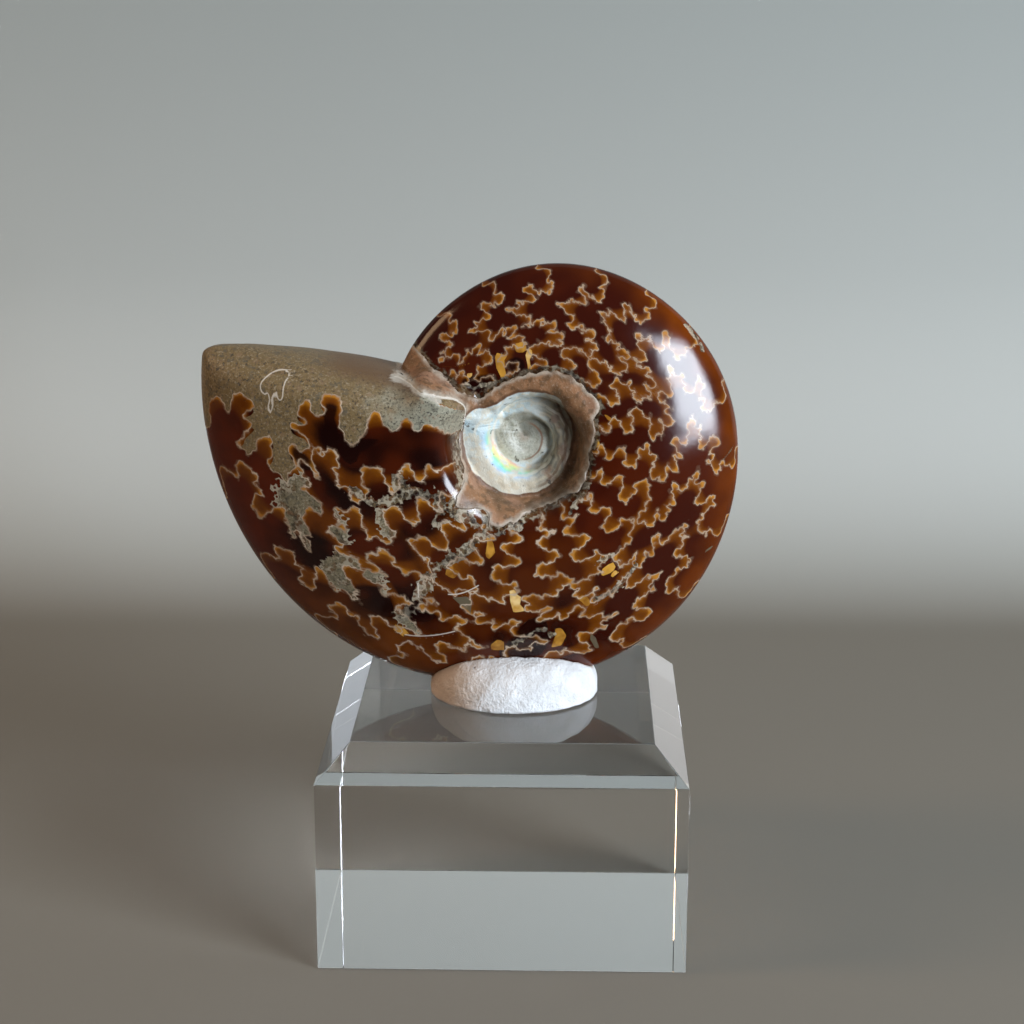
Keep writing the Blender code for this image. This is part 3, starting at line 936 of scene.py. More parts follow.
fossilFinish = {
    "deepMaroon": (0.008, 0.0005, 0.0003),
    "maroon": (0.060, 0.0075, 0.0008),
    "warmMaroon": (0.044, 0.0048, 0.0010),
    "outerRed": (0.074, 0.0080, 0.0006),
    "leftRed": (0.105, 0.0120, 0.0010),
    "lowOrange": (0.150, 0.0340, 0.0020),
    "outerOrange": (0.160, 0.0320, 0.0012),
    "lowBrown": (0.070, 0.0130, 0.0010),
    "darkAmber": (0.115, 0.0270, 0.0015),
    "amber": (0.190, 0.0560, 0.0032),
    "brightAmber": (0.44, 0.175, 0.016),
    "gold": (0.62, 0.310, 0.045),
    "paleGold": (0.86, 0.62, 0.28),
    "olive": (0.125, 0.100, 0.062),
    "cream": (0.58, 0.455, 0.34),
    "dullCream": (0.33, 0.225, 0.150),
    "tanStone": (0.200, 0.136, 0.061),
    "greyStone": (0.290, 0.275, 0.205),
    "lobeStone": (0.200, 0.165, 0.100),
    "rind": (0.330, 0.165, 0.080),
    "rindShadow": (0.140, 0.072, 0.032),
    "rindPink": (0.42, 0.230, 0.145),
    "rindEdge": (0.50, 0.44, 0.36),
    "stoneLight": (0.46, 0.41, 0.32),
    "stonePit": (0.070, 0.056, 0.042),
    "stoneShade": (0.095, 0.088, 0.070),
    "stoneRust": (0.27, 0.175, 0.11),
    "rindSpeck": (0.58, 0.47, 0.36),
    "rindStain": (0.085, 0.048, 0.022),
    "rindLine": (0.105, 0.045, 0.020),
    "pearlBlue": (0.39, 0.51, 0.55),
    "pearl": (0.64, 0.69, 0.67),
    "pearlFlake": (0.68, 0.58, 0.42),
    "pearlWarm": (0.74, 0.62, 0.44),
    "innerOlive": (0.125, 0.088, 0.046),
    "innerTan": (0.34, 0.27, 0.17),
    "innerBrown": (0.20, 0.10, 0.045),
    "innerRidge": (0.70, 0.64, 0.52),
    "domeShade": (0.28, 0.25, 0.18),
    "dome": (0.57, 0.555, 0.465),
    "domeThread": (0.56, 0.54, 0.46),
    "heart": (0.36, 0.24, 0.17),
    "domeUpRightShade": (0.085, 0.075, 0.045),
    "innerSeam": (0.25, 0.12, 0.065),
    "nacreRim": (0.12, 0.055, 0.024),
    "nacreSpeck": (0.040, 0.032, 0.022),
    "shellLine": (0.70, 0.63, 0.54),
    # painted highlight along the lip's ridge
    "lipRidgeHighlight": (0.66, 0.62, 0.54),
    "heartShift": (-0.0010, 0.0003),   # from the coil's centre to the middle of the inner whorls
    "hollow": (0.020, 0.012, 0.006),
    "crystalTan": (0.165, 0.115, 0.058),
    "crystalEdge": (0.47, 0.41, 0.31),
    "sutureHalfWidth": 0.098,           # millimetres
    "scallop": 0.62,
    "frill": 0.15,
    "ior": 1.53,
    "specular": 0.28,
    "bumpDepth": 0.00022,
    # roughness, and how much more of it the speckles bring
    "stoneRoughness": (0.26, 0.30),
    "crystalRoughness": (0.30, 0.3),
    "rindRoughness": (0.34, 0.25),
}


# the calcite between the sutures, glowing amber where a lobe or a saddle closes round it
def chamberColour(look, marks):
    share, angle, cloud, streaks = marks.share, marks.growthAngle, marks.cloud, marks.streaks
    deep = blend(easeField(95.0, 55.0, angle) * 0.8, look["deepMaroon"], look["warmMaroon"])
    colour = blend(easeField(0.42, 0.66, cloud + marks.tone * 0.08), deep, look["maroon"])
    low = easeField(48.0, 80.0, angle) * easeField(142.0, 112.0, angle)
    colour = blend(low * easeField(0.40, 0.62, cloud) * 0.75, colour, look["lowBrown"])
    inset = easeField(110.0, 60.0, angle) * 0.11 + easeField(-50.0, -100.0, angle) * 0.14
    outward = easeField(0.72, 0.95, share + (cloud - 0.5) * 0.30 - inset)
    edgeTint = blend(easeField(95.0, 40.0, angle), look["outerRed"], look["outerOrange"])
    edgeTint = blend(easeField(100.0, 125.0, angle), edgeTint, look["lowOrange"])
    edgeTint = blend(easeField(135.0, 160.0, angle), edgeTint, look["leftRed"])
    colour = blend(outward * (0.30 + streaks * 0.5 + cloud * 0.5).clamped(), colour, edgeTint)
    side = marks.suture.over(0.0) * 2.0 - 1.0
    body = easeField(0.34, -0.12, marks.sheltered * side + (cloud - 0.5) * 0.5)
    tips = easeField(0.30, -0.45, marks.enclosed * side + (streaks - 0.5) * 0.4)
    near = 1.0 / (1.0 + marks.gap * marks.gap * 1.3)
    glow = (body * (0.40 + near * 0.22) + tips * (0.08 + near * 0.46)) * (0.40 + streaks * 0.6 + cloud * 0.6)
    amber = blend(easeField(0.38, 0.72, glow), look["darkAmber"], look["amber"])
    amber = blend(easeField(0.66, 1.05, glow), amber, look["brightAmber"])
    colour = blend(easeField(0.06, 0.42, glow), colour, amber)
    darkness = easeField(-0.2, 0.4, marks.dark + marks.coarse * 1.4)
    return blend(darkness * (0.9 - tips * 0.5), colour, look["deepMaroon"])


# clear golden windows and olive slivers
def patchColour(look, marks):
    light = marks.goldLight + (marks.streaks - 0.5) * 0.9
    colour = blend(easeField(-0.3, 0.25, light), look["darkAmber"], look["amber"])
    colour = blend(easeField(0.2, 0.9, light), colour, look["gold"])
    colour = blend(easeField(0.85, 1.25, light), colour, look["paleGold"])
    return blend(marks.goldLight.under(0.0), colour, look["olive"])


# crystals: frilled pale edges round dark and tan hollows
def crystalColour(look, marks):
    pale = easeField(0.45, 0.62, marks.speckle * 0.5 + marks.streaks * 0.5 + marks.coarse * 0.5)
    colour = blend(pale, look["hollow"], look["crystalTan"])
    colour = blend(easeField(0.52, 0.62, marks.streaks) * 0.6, colour, look["darkAmber"])
    rims = easeField(0.47, 0.66, marks.lace + marks.fine * 0.3)
    return blend(rims * (0.30 + pale * 0.6), colour, look["crystalEdge"])


def stoneColour(look, marks, base):
    speckle, blotch = marks.speckle, marks.blotch
    colour = blend(easeField(0.52, 0.72, speckle) * 0.50, base, look["stoneLight"])
    colour = blend(easeField(0.46, 0.36, speckle) * 0.80, colour, look["stonePit"])
    colour = blend(easeField(0.43, 0.34, blotch) * 0.50, colour, look["stoneShade"])
    return blend(easeField(0.58, 0.68, blotch) * 0.40, colour, look["stoneRust"])


# the torn shell layer round the umbilicus
def rindColour(look, marks):
    fold, cloud = marks.fold, marks.cloud
    colour = blend(easeField(0.36, 0.60, fold), look["rindShadow"], look["rind"])
    rays = (marks.turn * 23.0 + marks.radius * 0.7 + fold * 24.0).sine() * 0.5 + 0.5
    colour = blend(rays * 0.35, colour, look["rindShadow"])
    pink = easeField(0.52, 0.66, cloud + marks.coarse * 0.3)
    colour = blend(pink * 0.6, colour, look["rindPink"])
    colour = blend(easeField(0.54, 0.72, marks.speckle) * 0.30, colour, look["rindSpeck"])
    colour = blend(easeField(0.47, 0.36, marks.blotch) * 0.55, colour, look["rindStain"])
    rim = easeField(1.0, 0.05, marks.rindDepth) * easeField(0.30, 0.55, fold)
    colour = blend(rim * 0.75, colour, look["rindEdge"])
    edge = easeField(0.55, 0.10, (marks.nacreDepth + 0.15).size()) * easeField(0.35, 0.55, fold)
    return blend(edge * 0.8, colour, look["rindLine"])


# the inner whorls: pearly on the left with a rainbow low down, olive and brown on the right
def pearlColour(look, marks):
    turn, radius, fold, speckle = marks.turn, marks.radius, marks.fold, marks.speckle
    whorl, streaks = marks.whorl, marks.streaks
    colour = blend(easeField(0.36, 0.60, fold), look["pearlBlue"], look["pearl"])
    flakes = easeField(0.50, 0.56, marks.blotch)
    colour = blend(flakes * 0.5, colour, look["pearlFlake"])
    low = easeField(-0.2, 0.9, cosine(turn - 1.8))
    colour = blend(low * easeField(6.3, 8.0, radius) * 0.6, colour, look["pearlWarm"])
    hue = (radius - 5.1 + (fold - 0.5) * 1.8) * 0.45
    rainbow = colourRamp(hue, (
        (0.0, (0.62, 0.40, 0.36)), (0.16, (0.78, 0.44, 0.30)), (0.32, (0.80, 0.74, 0.26)),
        (0.48, (0.28, 0.74, 0.40)), (0.64, (0.22, 0.60, 0.72)), (0.82, (0.34, 0.50, 0.76)),
        (1.0, (0.50, 0.58, 0.64)),
    ))
    inBand = easeField(-0.05, 0.15, hue) * easeField(1.3, 0.80, hue) * easeField(0.36, 0.56, streaks)
    lowLeft = easeField(0.30, 0.95, cosine(turn - 2.3))
    colour = blend(lowLeft * inBand * 0.85, colour, rainbow)
    onRight = easeField(0.05, 0.70, cosine(turn - 0.1)) * easeField(4.4, 6.0, radius)
    lines = (whorl * 6.0 + fold * 26.0).sine() * 0.5 + 0.5
    olive = blend(lines * 0.8, look["innerOlive"], look["innerTan"])
    olive = blend(easeField(0.50, 0.64, streaks), olive, look["innerBrown"])
    colour = blend(onRight * 0.85, colour, olive)
    ridge = (whorl * 2.0 + 0.7 + fold * 4.0).sine()
    colour = blend(easeField(0.80, 0.97, ridge) * 0.55, colour, look["innerRidge"])
    dome = easeField(5.1, 4.4, radius + (fold - 0.5) * 1.6)
    domeTint = blend(easeField(0.36, 0.62, speckle * 0.5 + fold * 0.5), look["domeShade"], look["dome"])
    threads = (whorl * 3.0 + fold * 9.0).sine() * 0.5 + 0.5
    domeTint = blend(threads * threads * 0.55, domeTint, look["domeThread"])
    heart = easeField(1.5, 0.5, radius + (fold - 0.5) * 1.6)
    domeTint = blend(heart * 0.6, domeTint, look["heart"])
    # painted shade: the dome is darker on its upper right
    upRight = easeField(0.1, 0.9, cosine(turn + 0.9)) * easeField(0.38, 0.58, fold)
    domeTint = blend(upRight * 0.8, domeTint, look["domeUpRightShade"])
    colour = blend(dome * 0.88, colour, domeTint)
    seam = (radius - 3.5 - (turn - 0.4).sine() * 0.8 + (fold - 0.5) * 1.2).size()
    seam = easeField(0.30, 0.06, seam) * easeField(-0.1, 0.6, cosine(turn - 0.2))
    colour = blend(seam * 0.8, colour, look["innerSeam"])
    rim = easeField(0.42, 0.12, (marks.nacreDepth - 1.0 + (fold - 0.5) * 1.4).size())
    colour = blend(rim * onRight * 0.7, colour, look["nacreRim"])
    specks = easeField(0.34, 0.26, marks.blotch)
    return blend(specks * 0.8, colour, look["nacreSpeck"])


def makeFossilMaterial():
    material, tree, shader = freshMaterial("polishedFossil")
    look = fossilFinish
    where = objectPlace(tree)
    marks = SimpleNamespace(**{name: named(tree, name) for name in (
        "share", "growthAngle", "tone", "enclosed", "dark", "gold", "goldLight", "crystal",
        "trim", "trimWindow", "lip", "sheltered", "steep",
    )})
    marks.fine = noise(where, 1500.0, 2.0) - 0.5
    marks.coarse = noise(where, 260.0, 2.0, 0.6) - 0.5
    marks.cloud = noise(where, 80.0, 2.0, 0.65)
    marks.streaks = noise(where, 430.0, 2.0, 0.6)
    marks.speckle = noise(where, 2300.0, 2.0, 0.8)
    marks.blotch = noise(where, 700.0, 2.0, 0.6)
    marks.fold = noise(where, 190.0, 2.0, 0.65)
    marks.lace = grains(where, 1150.0)
    fine, coarse, speckle = marks.fine, marks.coarse, marks.speckle

    # scallops bulge towards the shell's mouth and meet in cusps on the other side
    bulge = (0.55 - grains(where, 780.0)) * look["scallop"]
    bulge = bulge + (0.55 - grains(where, 2000.0)) * look["frill"]
    marks.suture = named(tree, "suture") - named(tree, "facing") * bulge
    marks.gap = marks.suture.size()
    colour = chamberColour(look, marks)
    inPatch = easeField(-0.02, 0.08, marks.gold + coarse * 0.25)
    inPatch = inPatch * (0.55 + marks.streaks * 0.7).clamped()
    colour = blend(inPatch, colour, patchColour(look, marks))

    # stone in the body chamber, greyer towards the umbilicus, and in the lobes beside it
    lace = marks.lace
    pastSutures = marks.growthAngle.over(199.0)
    inStone = easeField(-0.04, 0.04, named(tree, "stone"))
    beyondEnd = marks.growthAngle.under(-100.0)
    inStone = inStone * marks.suture.under(0.0).most(pastSutures).most(beyondEnd)
    lobes = named(tree, "lobes")
    sameChamber = (marks.suture * lobes).over(0.0)
    lobeDepth = lobes.size() - 3.0 + coarse * 2.2 + (lace - 0.45) * 2.0 + fine * 0.5
    inLobe = easeField(-0.10, 0.15, lobeDepth) * sameChamber
    lobeRim = easeField(0.42, 0.08, (lobeDepth - 0.18).size()) * sameChamber * (1.0 - inStone)
    greyness = easeField(0.50, 0.34, marks.share + coarse * 0.25)
    base = blend(greyness, look["tanStone"], look["greyStone"])
    base = blend(inLobe * (1.0 - inStone), base, look["lobeStone"])
    anyStone = inStone.most(inLobe)
    colour = blend(anyStone, colour, stoneColour(look, marks, base))
    feathers = inLobe * (1.0 - inStone) * easeField(0.40, 0.56, marks.streaks)
    colour = blend(feathers * 0.7, colour, crystalColour(look, marks))
    colour = blend(lobeRim * 0.75, colour, look["crystalEdge"])

    # crystals in the fractures
    crystal = marks.crystal
    inCrystal = easeField(0.40, 0.58, crystal + coarse * 3.0 + (lace - 0.5) * 0.8)
    inCrystal = inCrystal * crystal.over(0.001) * (1.0 - inStone)
    colour = blend(inCrystal * 0.92, colour, crystalColour(look, marks))

    # suture lines
    lineGap = marks.gap + fine * 0.05 + coarse * 0.04
    creamy = easeField(0.35, 0.66, marks.streaks + coarse * 0.4)
    creamTint = blend(creamy, look["dullCream"], look["cream"])
    upRight = easeField(90.0, 30.0, marks.growthAngle)
    creamTint = blend(upRight * 0.55, creamTint, look["dullCream"])
    halo = easeField(0.40, 0.10, lineGap) * (1.0 - anyStone)
    colour = blend(halo * (0.36 - upRight * 0.16), colour, look["dullCream"])
    half = look["sutureHalfWidth"] * (1.0 - upRight * 0.18)
    line = easeField(half * 1.45, half * 0.55, lineGap) * easeField(3.0, 2.2, named(tree, "stone"))
    line = line * (1.0 - pastSutures)
    colour = blend(line * 0.86, colour, creamTint)

    # polar places about the middle of the umbilicus, in millimetres and radians
    marks.rindDepth = named(tree, "rind") + coarse * 1.1 + fine * 0.6
    shiftX, shiftZ = look["heartShift"]
    right, _, up = axesOf(centred(where, (coilX + shiftX, 0.0, coilZ + shiftZ)))
    marks.radius = (right * right + up * up).root() * 1000.0
    marks.turn = mathNode(tree, "ARCTAN2", 0.0 - up, right)
    logRadius = mathNode(tree, "LOGARITHM", marks.radius.most(0.5), math.e)
    marks.whorl = logRadius * (1.0 / shell["Growth"]) - marks.turn
    rindDepth = marks.rindDepth
    fringe = easeField(-1.1, -0.3, rindDepth + (lace - 0.5) * 0.8) * easeField(0.25, -0.1, rindDepth)
    fringe = fringe * (1.0 - inStone)
    hollows = easeField(85.0, 40.0, marks.growthAngle) * 0.62
    fringeTint = blend(hollows, crystalColour(look, marks), look["hollow"])
    colour = blend(fringe * 0.9, colour, fringeTint)
    inRind = easeField(-0.06, 0.12, rindDepth)
    marks.nacreDepth = named(tree, "nacre") + coarse * 1.2
    inNacre = easeField(-0.08, 0.18, marks.nacreDepth) * inRind
    colour = blend(inRind, colour, rindColour(look, marks))
    colour = blend(inNacre, colour, pearlColour(look, marks))

    # painted shade: the steep walls round the umbilicus take the rind's dark tone
    colour = blend(marks.steep * (1.0 - inRind) * 0.85, colour, look["rindShadow"])

    # thin lines of shell, and a painted highlight: the broad pale streak along the lip's ridge
    trimGap = marks.trim.size() * (1.0 + marks.growthAngle.over(204.5) * 0.9) + fine * 0.05
    trimLine = easeField(0.16, 0.05, trimGap) * easeField(0.0, 0.2, marks.trimWindow)
    colour = blend(trimLine * 0.85, colour, look["shellLine"])
    lipHighlight = easeField(0.50, 0.08, marks.lip + coarse * 0.9 + fine * 0.4)
    colour = blend(lipHighlight * 0.65, colour, look["lipRidgeHighlight"])
    plug(tree, colour, shader.inputs["Base Color"])

    # gloss: polished calcite and stone, dull shell, duller crystals
    rough = 0.085 + marks.cloud * 0.05 + speckle * 0.05
    for place, name in ((anyStone, "stone"), (inCrystal, "crystal"), (inRind, "rind")):
        smoothest, speckled = look[name + "Roughness"]
        rough = choose(place, smoothest + speckle * speckled, rough)
    plug(tree, rough, shader.inputs["Roughness"])
    shader.inputs["IOR"].default_value = look["ior"]
    shader.inputs["Specular IOR Level"].default_value = look["specular"]

    # fine relief: pits in the stone, rough shell and crystals, and the faint waves of the polish
    shelly = easeField(0.0, 0.2, named(tree, "rind"))
    pitted = easeField(0.0, 0.2, named(tree, "stone")).most(easeField(0.4, 0.6, crystal))
    height = marks.streaks * 0.09 + speckle * 0.015 - easeField(0.40, 0.30, speckle) * pitted * 0.75
    height = height + shelly * (speckle * 0.55 + marks.fold * 1.6)
    plug(tree, bumped(height, look["bumpDepth"], 0.9), shader.inputs["Normal"])
    return material


puttyRest = {
    "segments": 240,
    "rings": 100,
    "rounding": 0.8,
    "footShare": 0.0978,            # of its height, the level of its widest ring
    "clearance": 0.00006,
    "wrinkle": 0.00011,
    "foldPlaces": ((0.55, 0.00125), (-0.62, 0.0010)),    # share of the half width, and wavelength
    "chalkShade": (0.66, 0.66, 0.67),
    "chalk": (0.83, 0.84, 0.86),
    # painted light: warm tan for the lamp's light on the putty's left third
    "paintedWarmLight": (0.60, 0.44, 0.32),
    "dusty": (0.45, 0.41, 0.37),
    "pit": (0.16, 0.12, 0.09),
    # painted shadow where the putty touches the ammonite
    "contactShadow": (0.42, 0.30, 0.20),
    "specular": 0.25,
    "bumpDepth": 0.00026,
}


def makePuttyMaterial():
    material, tree, shader = freshMaterial("chalkyPutty")
    look = puttyRest
    where = objectPlace(tree)
    mottled = noise(where, 220.0, 5.0, 0.65)
    powder = noise(where, 2600.0, 4.0, 0.7)
    across = axesOf(where)[0] + (mottled - 0.5) * 0.006
    chalk = blend(easeField(0.3, 0.7, mottled), look["chalkShade"], look["chalk"])
    # painted light: the left third turns warm tan, standing for the warm lamp's light from the left
    paintedWarmLight = easeField(-0.0015, -0.0105, across)
    chalk = blend(paintedWarmLight * 0.9, chalk, look["paintedWarmLight"])
    chalk = blend(easeField(0.40, 0.28, powder) * 0.5, chalk, look["dusty"])
    pits = easeField(0.13, 0.07, grains(where, 330.0)) * easeField(0.50, 0.60, mottled)
    chalk = blend(pits * 0.85, chalk, look["pit"])
    # painted shadow: darker brown where the putty touches the ammonite
    chalk = blend(named(tree, "contactShadow") * 0.6, chalk, look["contactShadow"])
    plug(tree, chalk, shader.inputs["Base Color"])
    plug(tree, 0.82 + powder * 0.14, shader.inputs["Roughness"])
    shader.inputs["Specular IOR Level"].default_value = look["specular"]
    # wrinkles left by fingers, in ridges that meet and part
    ridges = (noise(where, 700.0, 2.0, 0.5, 0.6) - 0.5).size() * 2.0
    ridges = easeField(0.0, 0.5, ridges) * 0.28 + noise(where, 1300.0, 2.0) * 1.1
    height = powder * 0.30 + ridges - pits * 1.6
    plug(tree, bumped(height, look["bumpDepth"], 0.9), shader.inputs["Normal"])
    return material


def makePuttyRest(ammonite, material):
    low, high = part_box("putty_rest")
    centre = ((low.x + high.x) / 2, (low.y + high.y) / 2)
    half = ((high.x - low.x) / 2, (high.y - low.y) / 2)
    lift = high.z - low.z
    foot = low.z + puttyRest["footShare"] * lift
    lump = bmesh.new()
    bmesh.ops.create_uvsphere(lump, u_segments=puttyRest["segments"], v_segments=puttyRest["rings"],
                              radius=1.0)
    shape = bmesh.new()
    shape.from_mesh(ammonite.data)
    tree = BVHTree.FromBMesh(shape)
    shape.free()
    spots = np.array([vert.co[:] for vert in lump.verts])
    side = np.hypot(spots[:, 0], spots[:, 1])
    level = spots[:, 2]
    spread = np.maximum(side, 1e-6) ** (puttyRest["rounding"] - 1.0)
    x = centre[0] + spots[:, 0] * spread * half[0]
    y = centre[1] + spots[:, 1] * spread * half[1]
    crownHeight = high.z - foot
    dome = foot + crownHeight * np.sign(level) * np.abs(level) ** puttyRest["rounding"]
    z = np.where(level >= 0.0, dome, np.maximum(dome, low.z))
    # finger wrinkles: arcs round two pressed places, and small lumps
    placed = np.stack([x, y, z], 1)
    folds = np.zeros(len(x))
    for across, period in puttyRest["foldPlaces"]:
        gap = np.hypot(x - centre[0] - across * half[0], (z - foot) * 1.6)
        bent = gap + 0.0005 * ripple(placed, 0.006, 41)
        folds += np.sin(bent * math.tau / period) * np.exp(-(gap / (0.55 * half[0])) ** 2)
    lumps = ripple(placed, 0.0032, 42)
    outward = np.stack([spots[:, 0], spots[:, 1], spots[:, 2] * 0.7], 1)
    outward /= np.linalg.norm(outward, axis=1)[:, None]
    inward = -0.00012 + puttyRest["wrinkle"] * (0.35 * folds + 0.45 * lumps)
    inward = np.minimum(inward, 0.0)
    placed += outward * (inward * ease(0.0, 0.25, level + 0.55))[:, None]
    placed[:, 2] = np.where(level < 0.0, np.maximum(placed[:, 2], low.z), placed[:, 2])
    # painted shadow: how near each point lies under the ammonite, for a darker tint where they touch; points
    # are also kept below it
    contactShadow = np.zeros(len(x))
    for number, (spotX, spotY, spotZ) in enumerate(placed):
        hit = tree.ray_cast((spotX, spotY, low.z - 0.002), (0.0, 0.0, 1.0))[0]
        if hit is not None:
            top = hit.z - puttyRest["clearance"]
            contactShadow[number] = ease(0.0009, 0.0, top - spotZ)
            placed[number, 2] = max(min(spotZ, top), low.z)
    for vert, spot in zip(lump.verts, placed):
        vert.co = spot
    mesh = bpy.data.meshes.new("putty_lump")
    lump.to_mesh(mesh)
    lump.free()
    keepValues(mesh, "contactShadow", contactShadow)
    mesh.materials.append(material)
    mesh.shade_smooth()
    piece = bpy.data.objects.new("putty_lump", mesh)
    scene.collection.objects.link(piece)
    return piece


acrylicBlock = {
    "bevel": 0.0059,
    "softEdge": 0.00016,
    "ior": 1.49,
    "absorption": 1.2,
    "absorptionTint": (0.93, 0.955, 0.93, 1.0),
}


def makeAcrylicMaterial():
    material, tree, shader = freshMaterial("clearAcrylic")
    where = objectPlace(tree)
    shader.inputs["Base Color"].default_value = (1.0, 1.0, 1.0, 1.0)
    shader.inputs["Transmission Weight"].default_value = 1.0
    shader.inputs["IOR"].default_value = acrylicBlock["ior"]
    scratches = noise(centred(where, (0.0, 0.0, 0.0), (1.0, 1.0, 9.0)), 700.0, 0.0)
    plug(tree, easeField(0.66, 0.76, scratches) * 0.05 + 0.004, shader.inputs["Roughness"])
    waves = noise(where, 60.0, 0.0)
    plug(tree, bumped(waves, 0.00002, 0.6), shader.inputs["Normal"])
    absorb = tree.nodes.new("ShaderNodeVolumeAbsorption")
    absorb.inputs["Color"].default_value = acrylicBlock["absorptionTint"]
    absorb.inputs["Density"].default_value = acrylicBlock["absorption"]
    tree.links.new(absorb.outputs[0], tree.nodes["Material Output"].inputs["Volume"])
    return material


def makeAcrylicBlock(material):
    low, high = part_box("acrylic_block")
    middle = ((low.x + high.x) / 2, (low.y + high.y) / 2)
    half = (high.x - low.x) / 2
    bevel = acrylicBlock["bevel"]
    block = bmesh.new()
    rings = []
    for reach, height in ((half, low.z), (half, high.z - bevel), (half - bevel, high.z)):
        corners = ((1, 1), (-1, 1), (-1, -1), (1, -1))
        rings.append([
            block.verts.new((middle[0] + x * reach, middle[1] + y * reach, height))
            for x, y in corners
        ])
    for lower, upper in zip(rings, rings[1:]):
        for index in range(4):
            after = (index + 1) % 4
            block.faces.new((lower[index], lower[after], upper[after], upper[index]))
    block.faces.new(reversed(rings[0]))
    block.faces.new(rings[-1])
    bmesh.ops.recalc_face_normals(block, faces=block.faces)
    bmesh.ops.bevel(block, geom=list(block.edges), offset=acrylicBlock["softEdge"], segments=3,
                    profile=0.5, affect="EDGES")
    mesh = bpy.data.meshes.new("clear_block")
    block.to_mesh(mesh)
    block.free()
    mesh.materials.append(material)
    piece = bpy.data.objects.new("clear_block", mesh)
    scene.collection.objects.link(piece)
    return piece


studio = {
    "floorDrop": 0.0002,
    "sweepFrom": 0.160,
    "sweepRadius": 0.080,
    "wallTop": 1.6,
    "halfWidth": 1.8,
    "frontEdge": -1.4,
    "floorTint": (0.235, 0.218, 0.188),
    "wallTint": (0.48, 0.495, 0.475),
    "frontTint": (0.075, 0.072, 0.066),
    "paintedUpperShade": (0.325, 0.350, 0.340),
    # painted shade for the wall's upper part, as if the light fell off there
    "roughness": 0.62,
    "aim": (0.0, 0.0, 0.07),            # where the softboxes point
    "softboxes": (                      # name, azimuth, elevation, distance, size, power, colour
        ("window", 51.0, 12.0, 0.9, (0.40, 0.45), 11.5, (0.84, 0.92, 1.0)),
        ("window glow", 52.0, 12.0, 0.9, (0.50, 0.58), 13.0, (0.80, 0.86, 1.0)),
        ("overhead", 20.0, 75.0, 1.0, (0.9, 0.9), 2.4, (0.95, 0.97, 1.0)),
        ("lamp", -82.0, 28.0, 0.8, (0.22, 0.40), 1.9, (1.0, 0.66, 0.38)),
    ),
    "gleams": (                         # name, place, power, colour
        ("left gleam", (-0.108, 0.2, 0.024), 0.0098, (0.80, 0.88, 1.0)),
        ("right gleam", (0.106, 0.2, 0.024), 0.0125, (1.0, 0.95, 0.93)),
    ),
    "gleamSize": (0.090, 0.046),
    "skyColour": (0.80, 0.86, 0.90, 1.0),
    "skyStrength": 0.12,
}


def makeStage():
    profile = [(studio["frontEdge"], 0.0), (studio["frontEdge"] / 2, 0.0), (0.0, 0.0)]
    centreY, radius = studio["sweepFrom"], studio["sweepRadius"]
    for step in range(33):
        turn = math.pi / 2 * step / 32
        profile.append((centreY + radius * math.sin(turn), radius - radius * math.cos(turn)))
    profile.append((centreY + radius, studio["wallTop"]))
    sweep = bmesh.new()
    rows = []
    for y, z in profile:
        rows.append([
            sweep.verts.new((side * studio["halfWidth"], y, z - studio["floorDrop"]))
            for side in (-1, 1)
        ])
    for near, far in zip(rows, rows[1:]):
        sweep.faces.new((near[0], near[1], far[1], far[0]))
    mesh = bpy.data.meshes.new("studio_sweep")
    sweep.to_mesh(mesh)
    sweep.free()
    mesh.shade_smooth()
    material, tree, shader = freshMaterial("paleSweep")
    _, back, height = axesOf(objectPlace(tree))
    tint = blend(easeField(0.15, 0.232, back), studio["floorTint"], studio["wallTint"])
    tint = blend(easeField(-0.08, -0.24, back), tint, studio["frontTint"])
    # painted shade: the wall darkens higher up, standing for the light falling off
    tint = blend(easeField(0.02, 0.20, height), tint, studio["paintedUpperShade"])
    plug(tree, tint, shader.inputs["Base Color"])
    shader.inputs["Roughness"].default_value = studio["roughness"]
    shader.inputs["Specular IOR Level"].default_value = 0.0
    # clear from behind, so that the piece can be seen from there too
    facing = tree.nodes.new("ShaderNodeNewGeometry")
    clear = tree.nodes.new("ShaderNodeBsdfTransparent")
    either = tree.nodes.new("ShaderNodeMixShader")
    tree.links.new(facing.outputs["Backfacing"], either.inputs[0])
    tree.links.new(shader.outputs[0], either.inputs[1])
    tree.links.new(clear.outputs[0], either.inputs[2])
    tree.links.new(either.outputs[0], tree.nodes["Material Output"].inputs["Surface"])
    mesh.materials.append(material)
    piece = bpy.data.objects.new("studio_sweep", mesh)
    scene.collection.objects.link(piece)
    return piece


def addLamp(name, place, heading, size, power, colour):
    light = bpy.data.lights.new(name, "AREA")
    light.shape = "RECTANGLE"
    light.size, light.size_y = size
    light.energy = power
    light.color = colour
    lamp = bpy.data.objects.new(name, light)
    lamp.location = place
    lamp.rotation_euler = heading
    scene.collection.objects.link(lamp)
    return lamp


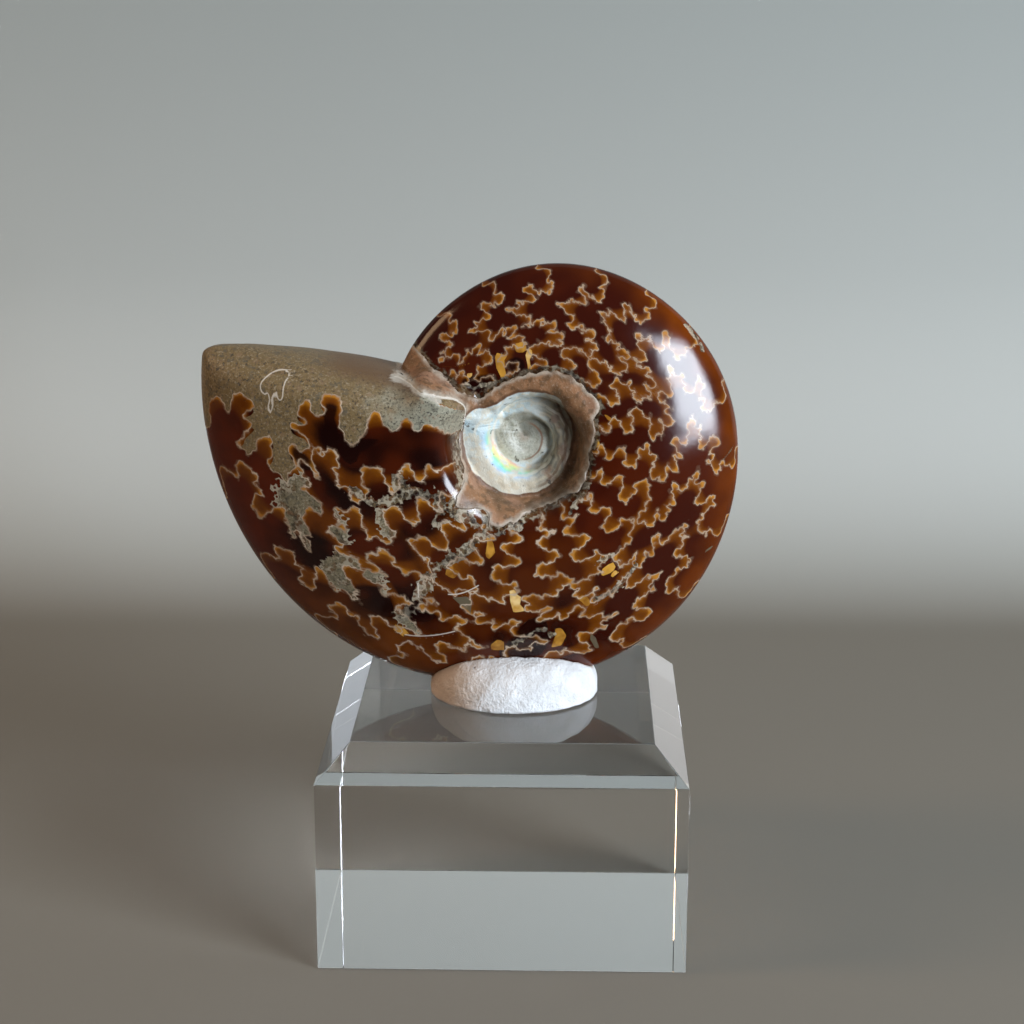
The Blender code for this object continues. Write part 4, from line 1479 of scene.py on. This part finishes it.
def addSoftbox(name, azimuth, elevation, distance, size, power, colour):
    turn, rise = math.radians(azimuth), math.radians(elevation)
    way = Vector((math.sin(turn) * math.cos(rise), -math.cos(turn) * math.cos(rise), math.sin(rise)))
    place = Vector(studio["aim"]) + way * distance
    return addLamp(name, place, way.to_track_quat("Z", "Y").to_euler(), size, power, colour)


def lightStudio():
    lamps = {box[0]: addSoftbox(*box) for box in studio["softboxes"]}
    lamps["window glow"].visible_diffuse = False
    lamps["overhead"].visible_glossy = False
    # low strips behind the stand, seen in reflections only, which light the block's side bevels
    forwards = (math.radians(-90.0), 0.0, 0.0)
    for name, place, power, colour in studio["gleams"]:
        gleam = addLamp(name, place, forwards, studio["gleamSize"], power, colour)
        gleam.visible_camera = False
        gleam.visible_diffuse = False
        gleam.visible_transmission = False
    world = bpy.data.worlds.new("soft room")
    world.use_nodes = True
    sky = world.node_tree.nodes["Background"]
    sky.inputs["Color"].default_value = studio["skyColour"]
    sky.inputs["Strength"].default_value = studio["skyStrength"]
    scene.world = world
    scene.view_settings.view_transform = "Standard"


viewpoint = {
    "lens": 75.75,
    "sensor": 36.0,
    "clipStart": 0.01,
    "place": (0.0108, -0.3717, 0.1762),
    "heading": (-0.0254, 0.9638, -0.2654),
}


def addCamera():
    lens = bpy.data.cameras.new("camera")
    lens.lens = viewpoint["lens"]
    lens.sensor_width = viewpoint["sensor"]
    lens.clip_start = viewpoint["clipStart"]
    eye = bpy.data.objects.new("camera", lens)
    eye.location = viewpoint["place"]
    eye.rotation_euler = Vector(viewpoint["heading"]).to_track_quat("-Z", "Y").to_euler()
    scene.collection.objects.link(eye)
    scene.camera = eye


addCamera()
makeStage()
lightStudio()
print("camera, floor and lights placed")
ammonite = growShell(makeFossilMaterial())
print("shell grown:", len(ammonite.data.polygons), "faces")
shellMarks = paintShell(ammonite)
carveShell(ammonite, shellMarks)
print("sutures, patches and relief added")
putty = makePuttyRest(ammonite, makePuttyMaterial())
block = makeAcrylicBlock(makeAcrylicMaterial())
print("putty and block made")
for piece, node, finishSlot in (
    (ammonite, "ammonite", "polished_fossil"),
    (putty, "putty_rest", "white_putty"),
    (block, "acrylic_block", "clear_acrylic"),
):
    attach(piece, "root")
    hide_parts(node)
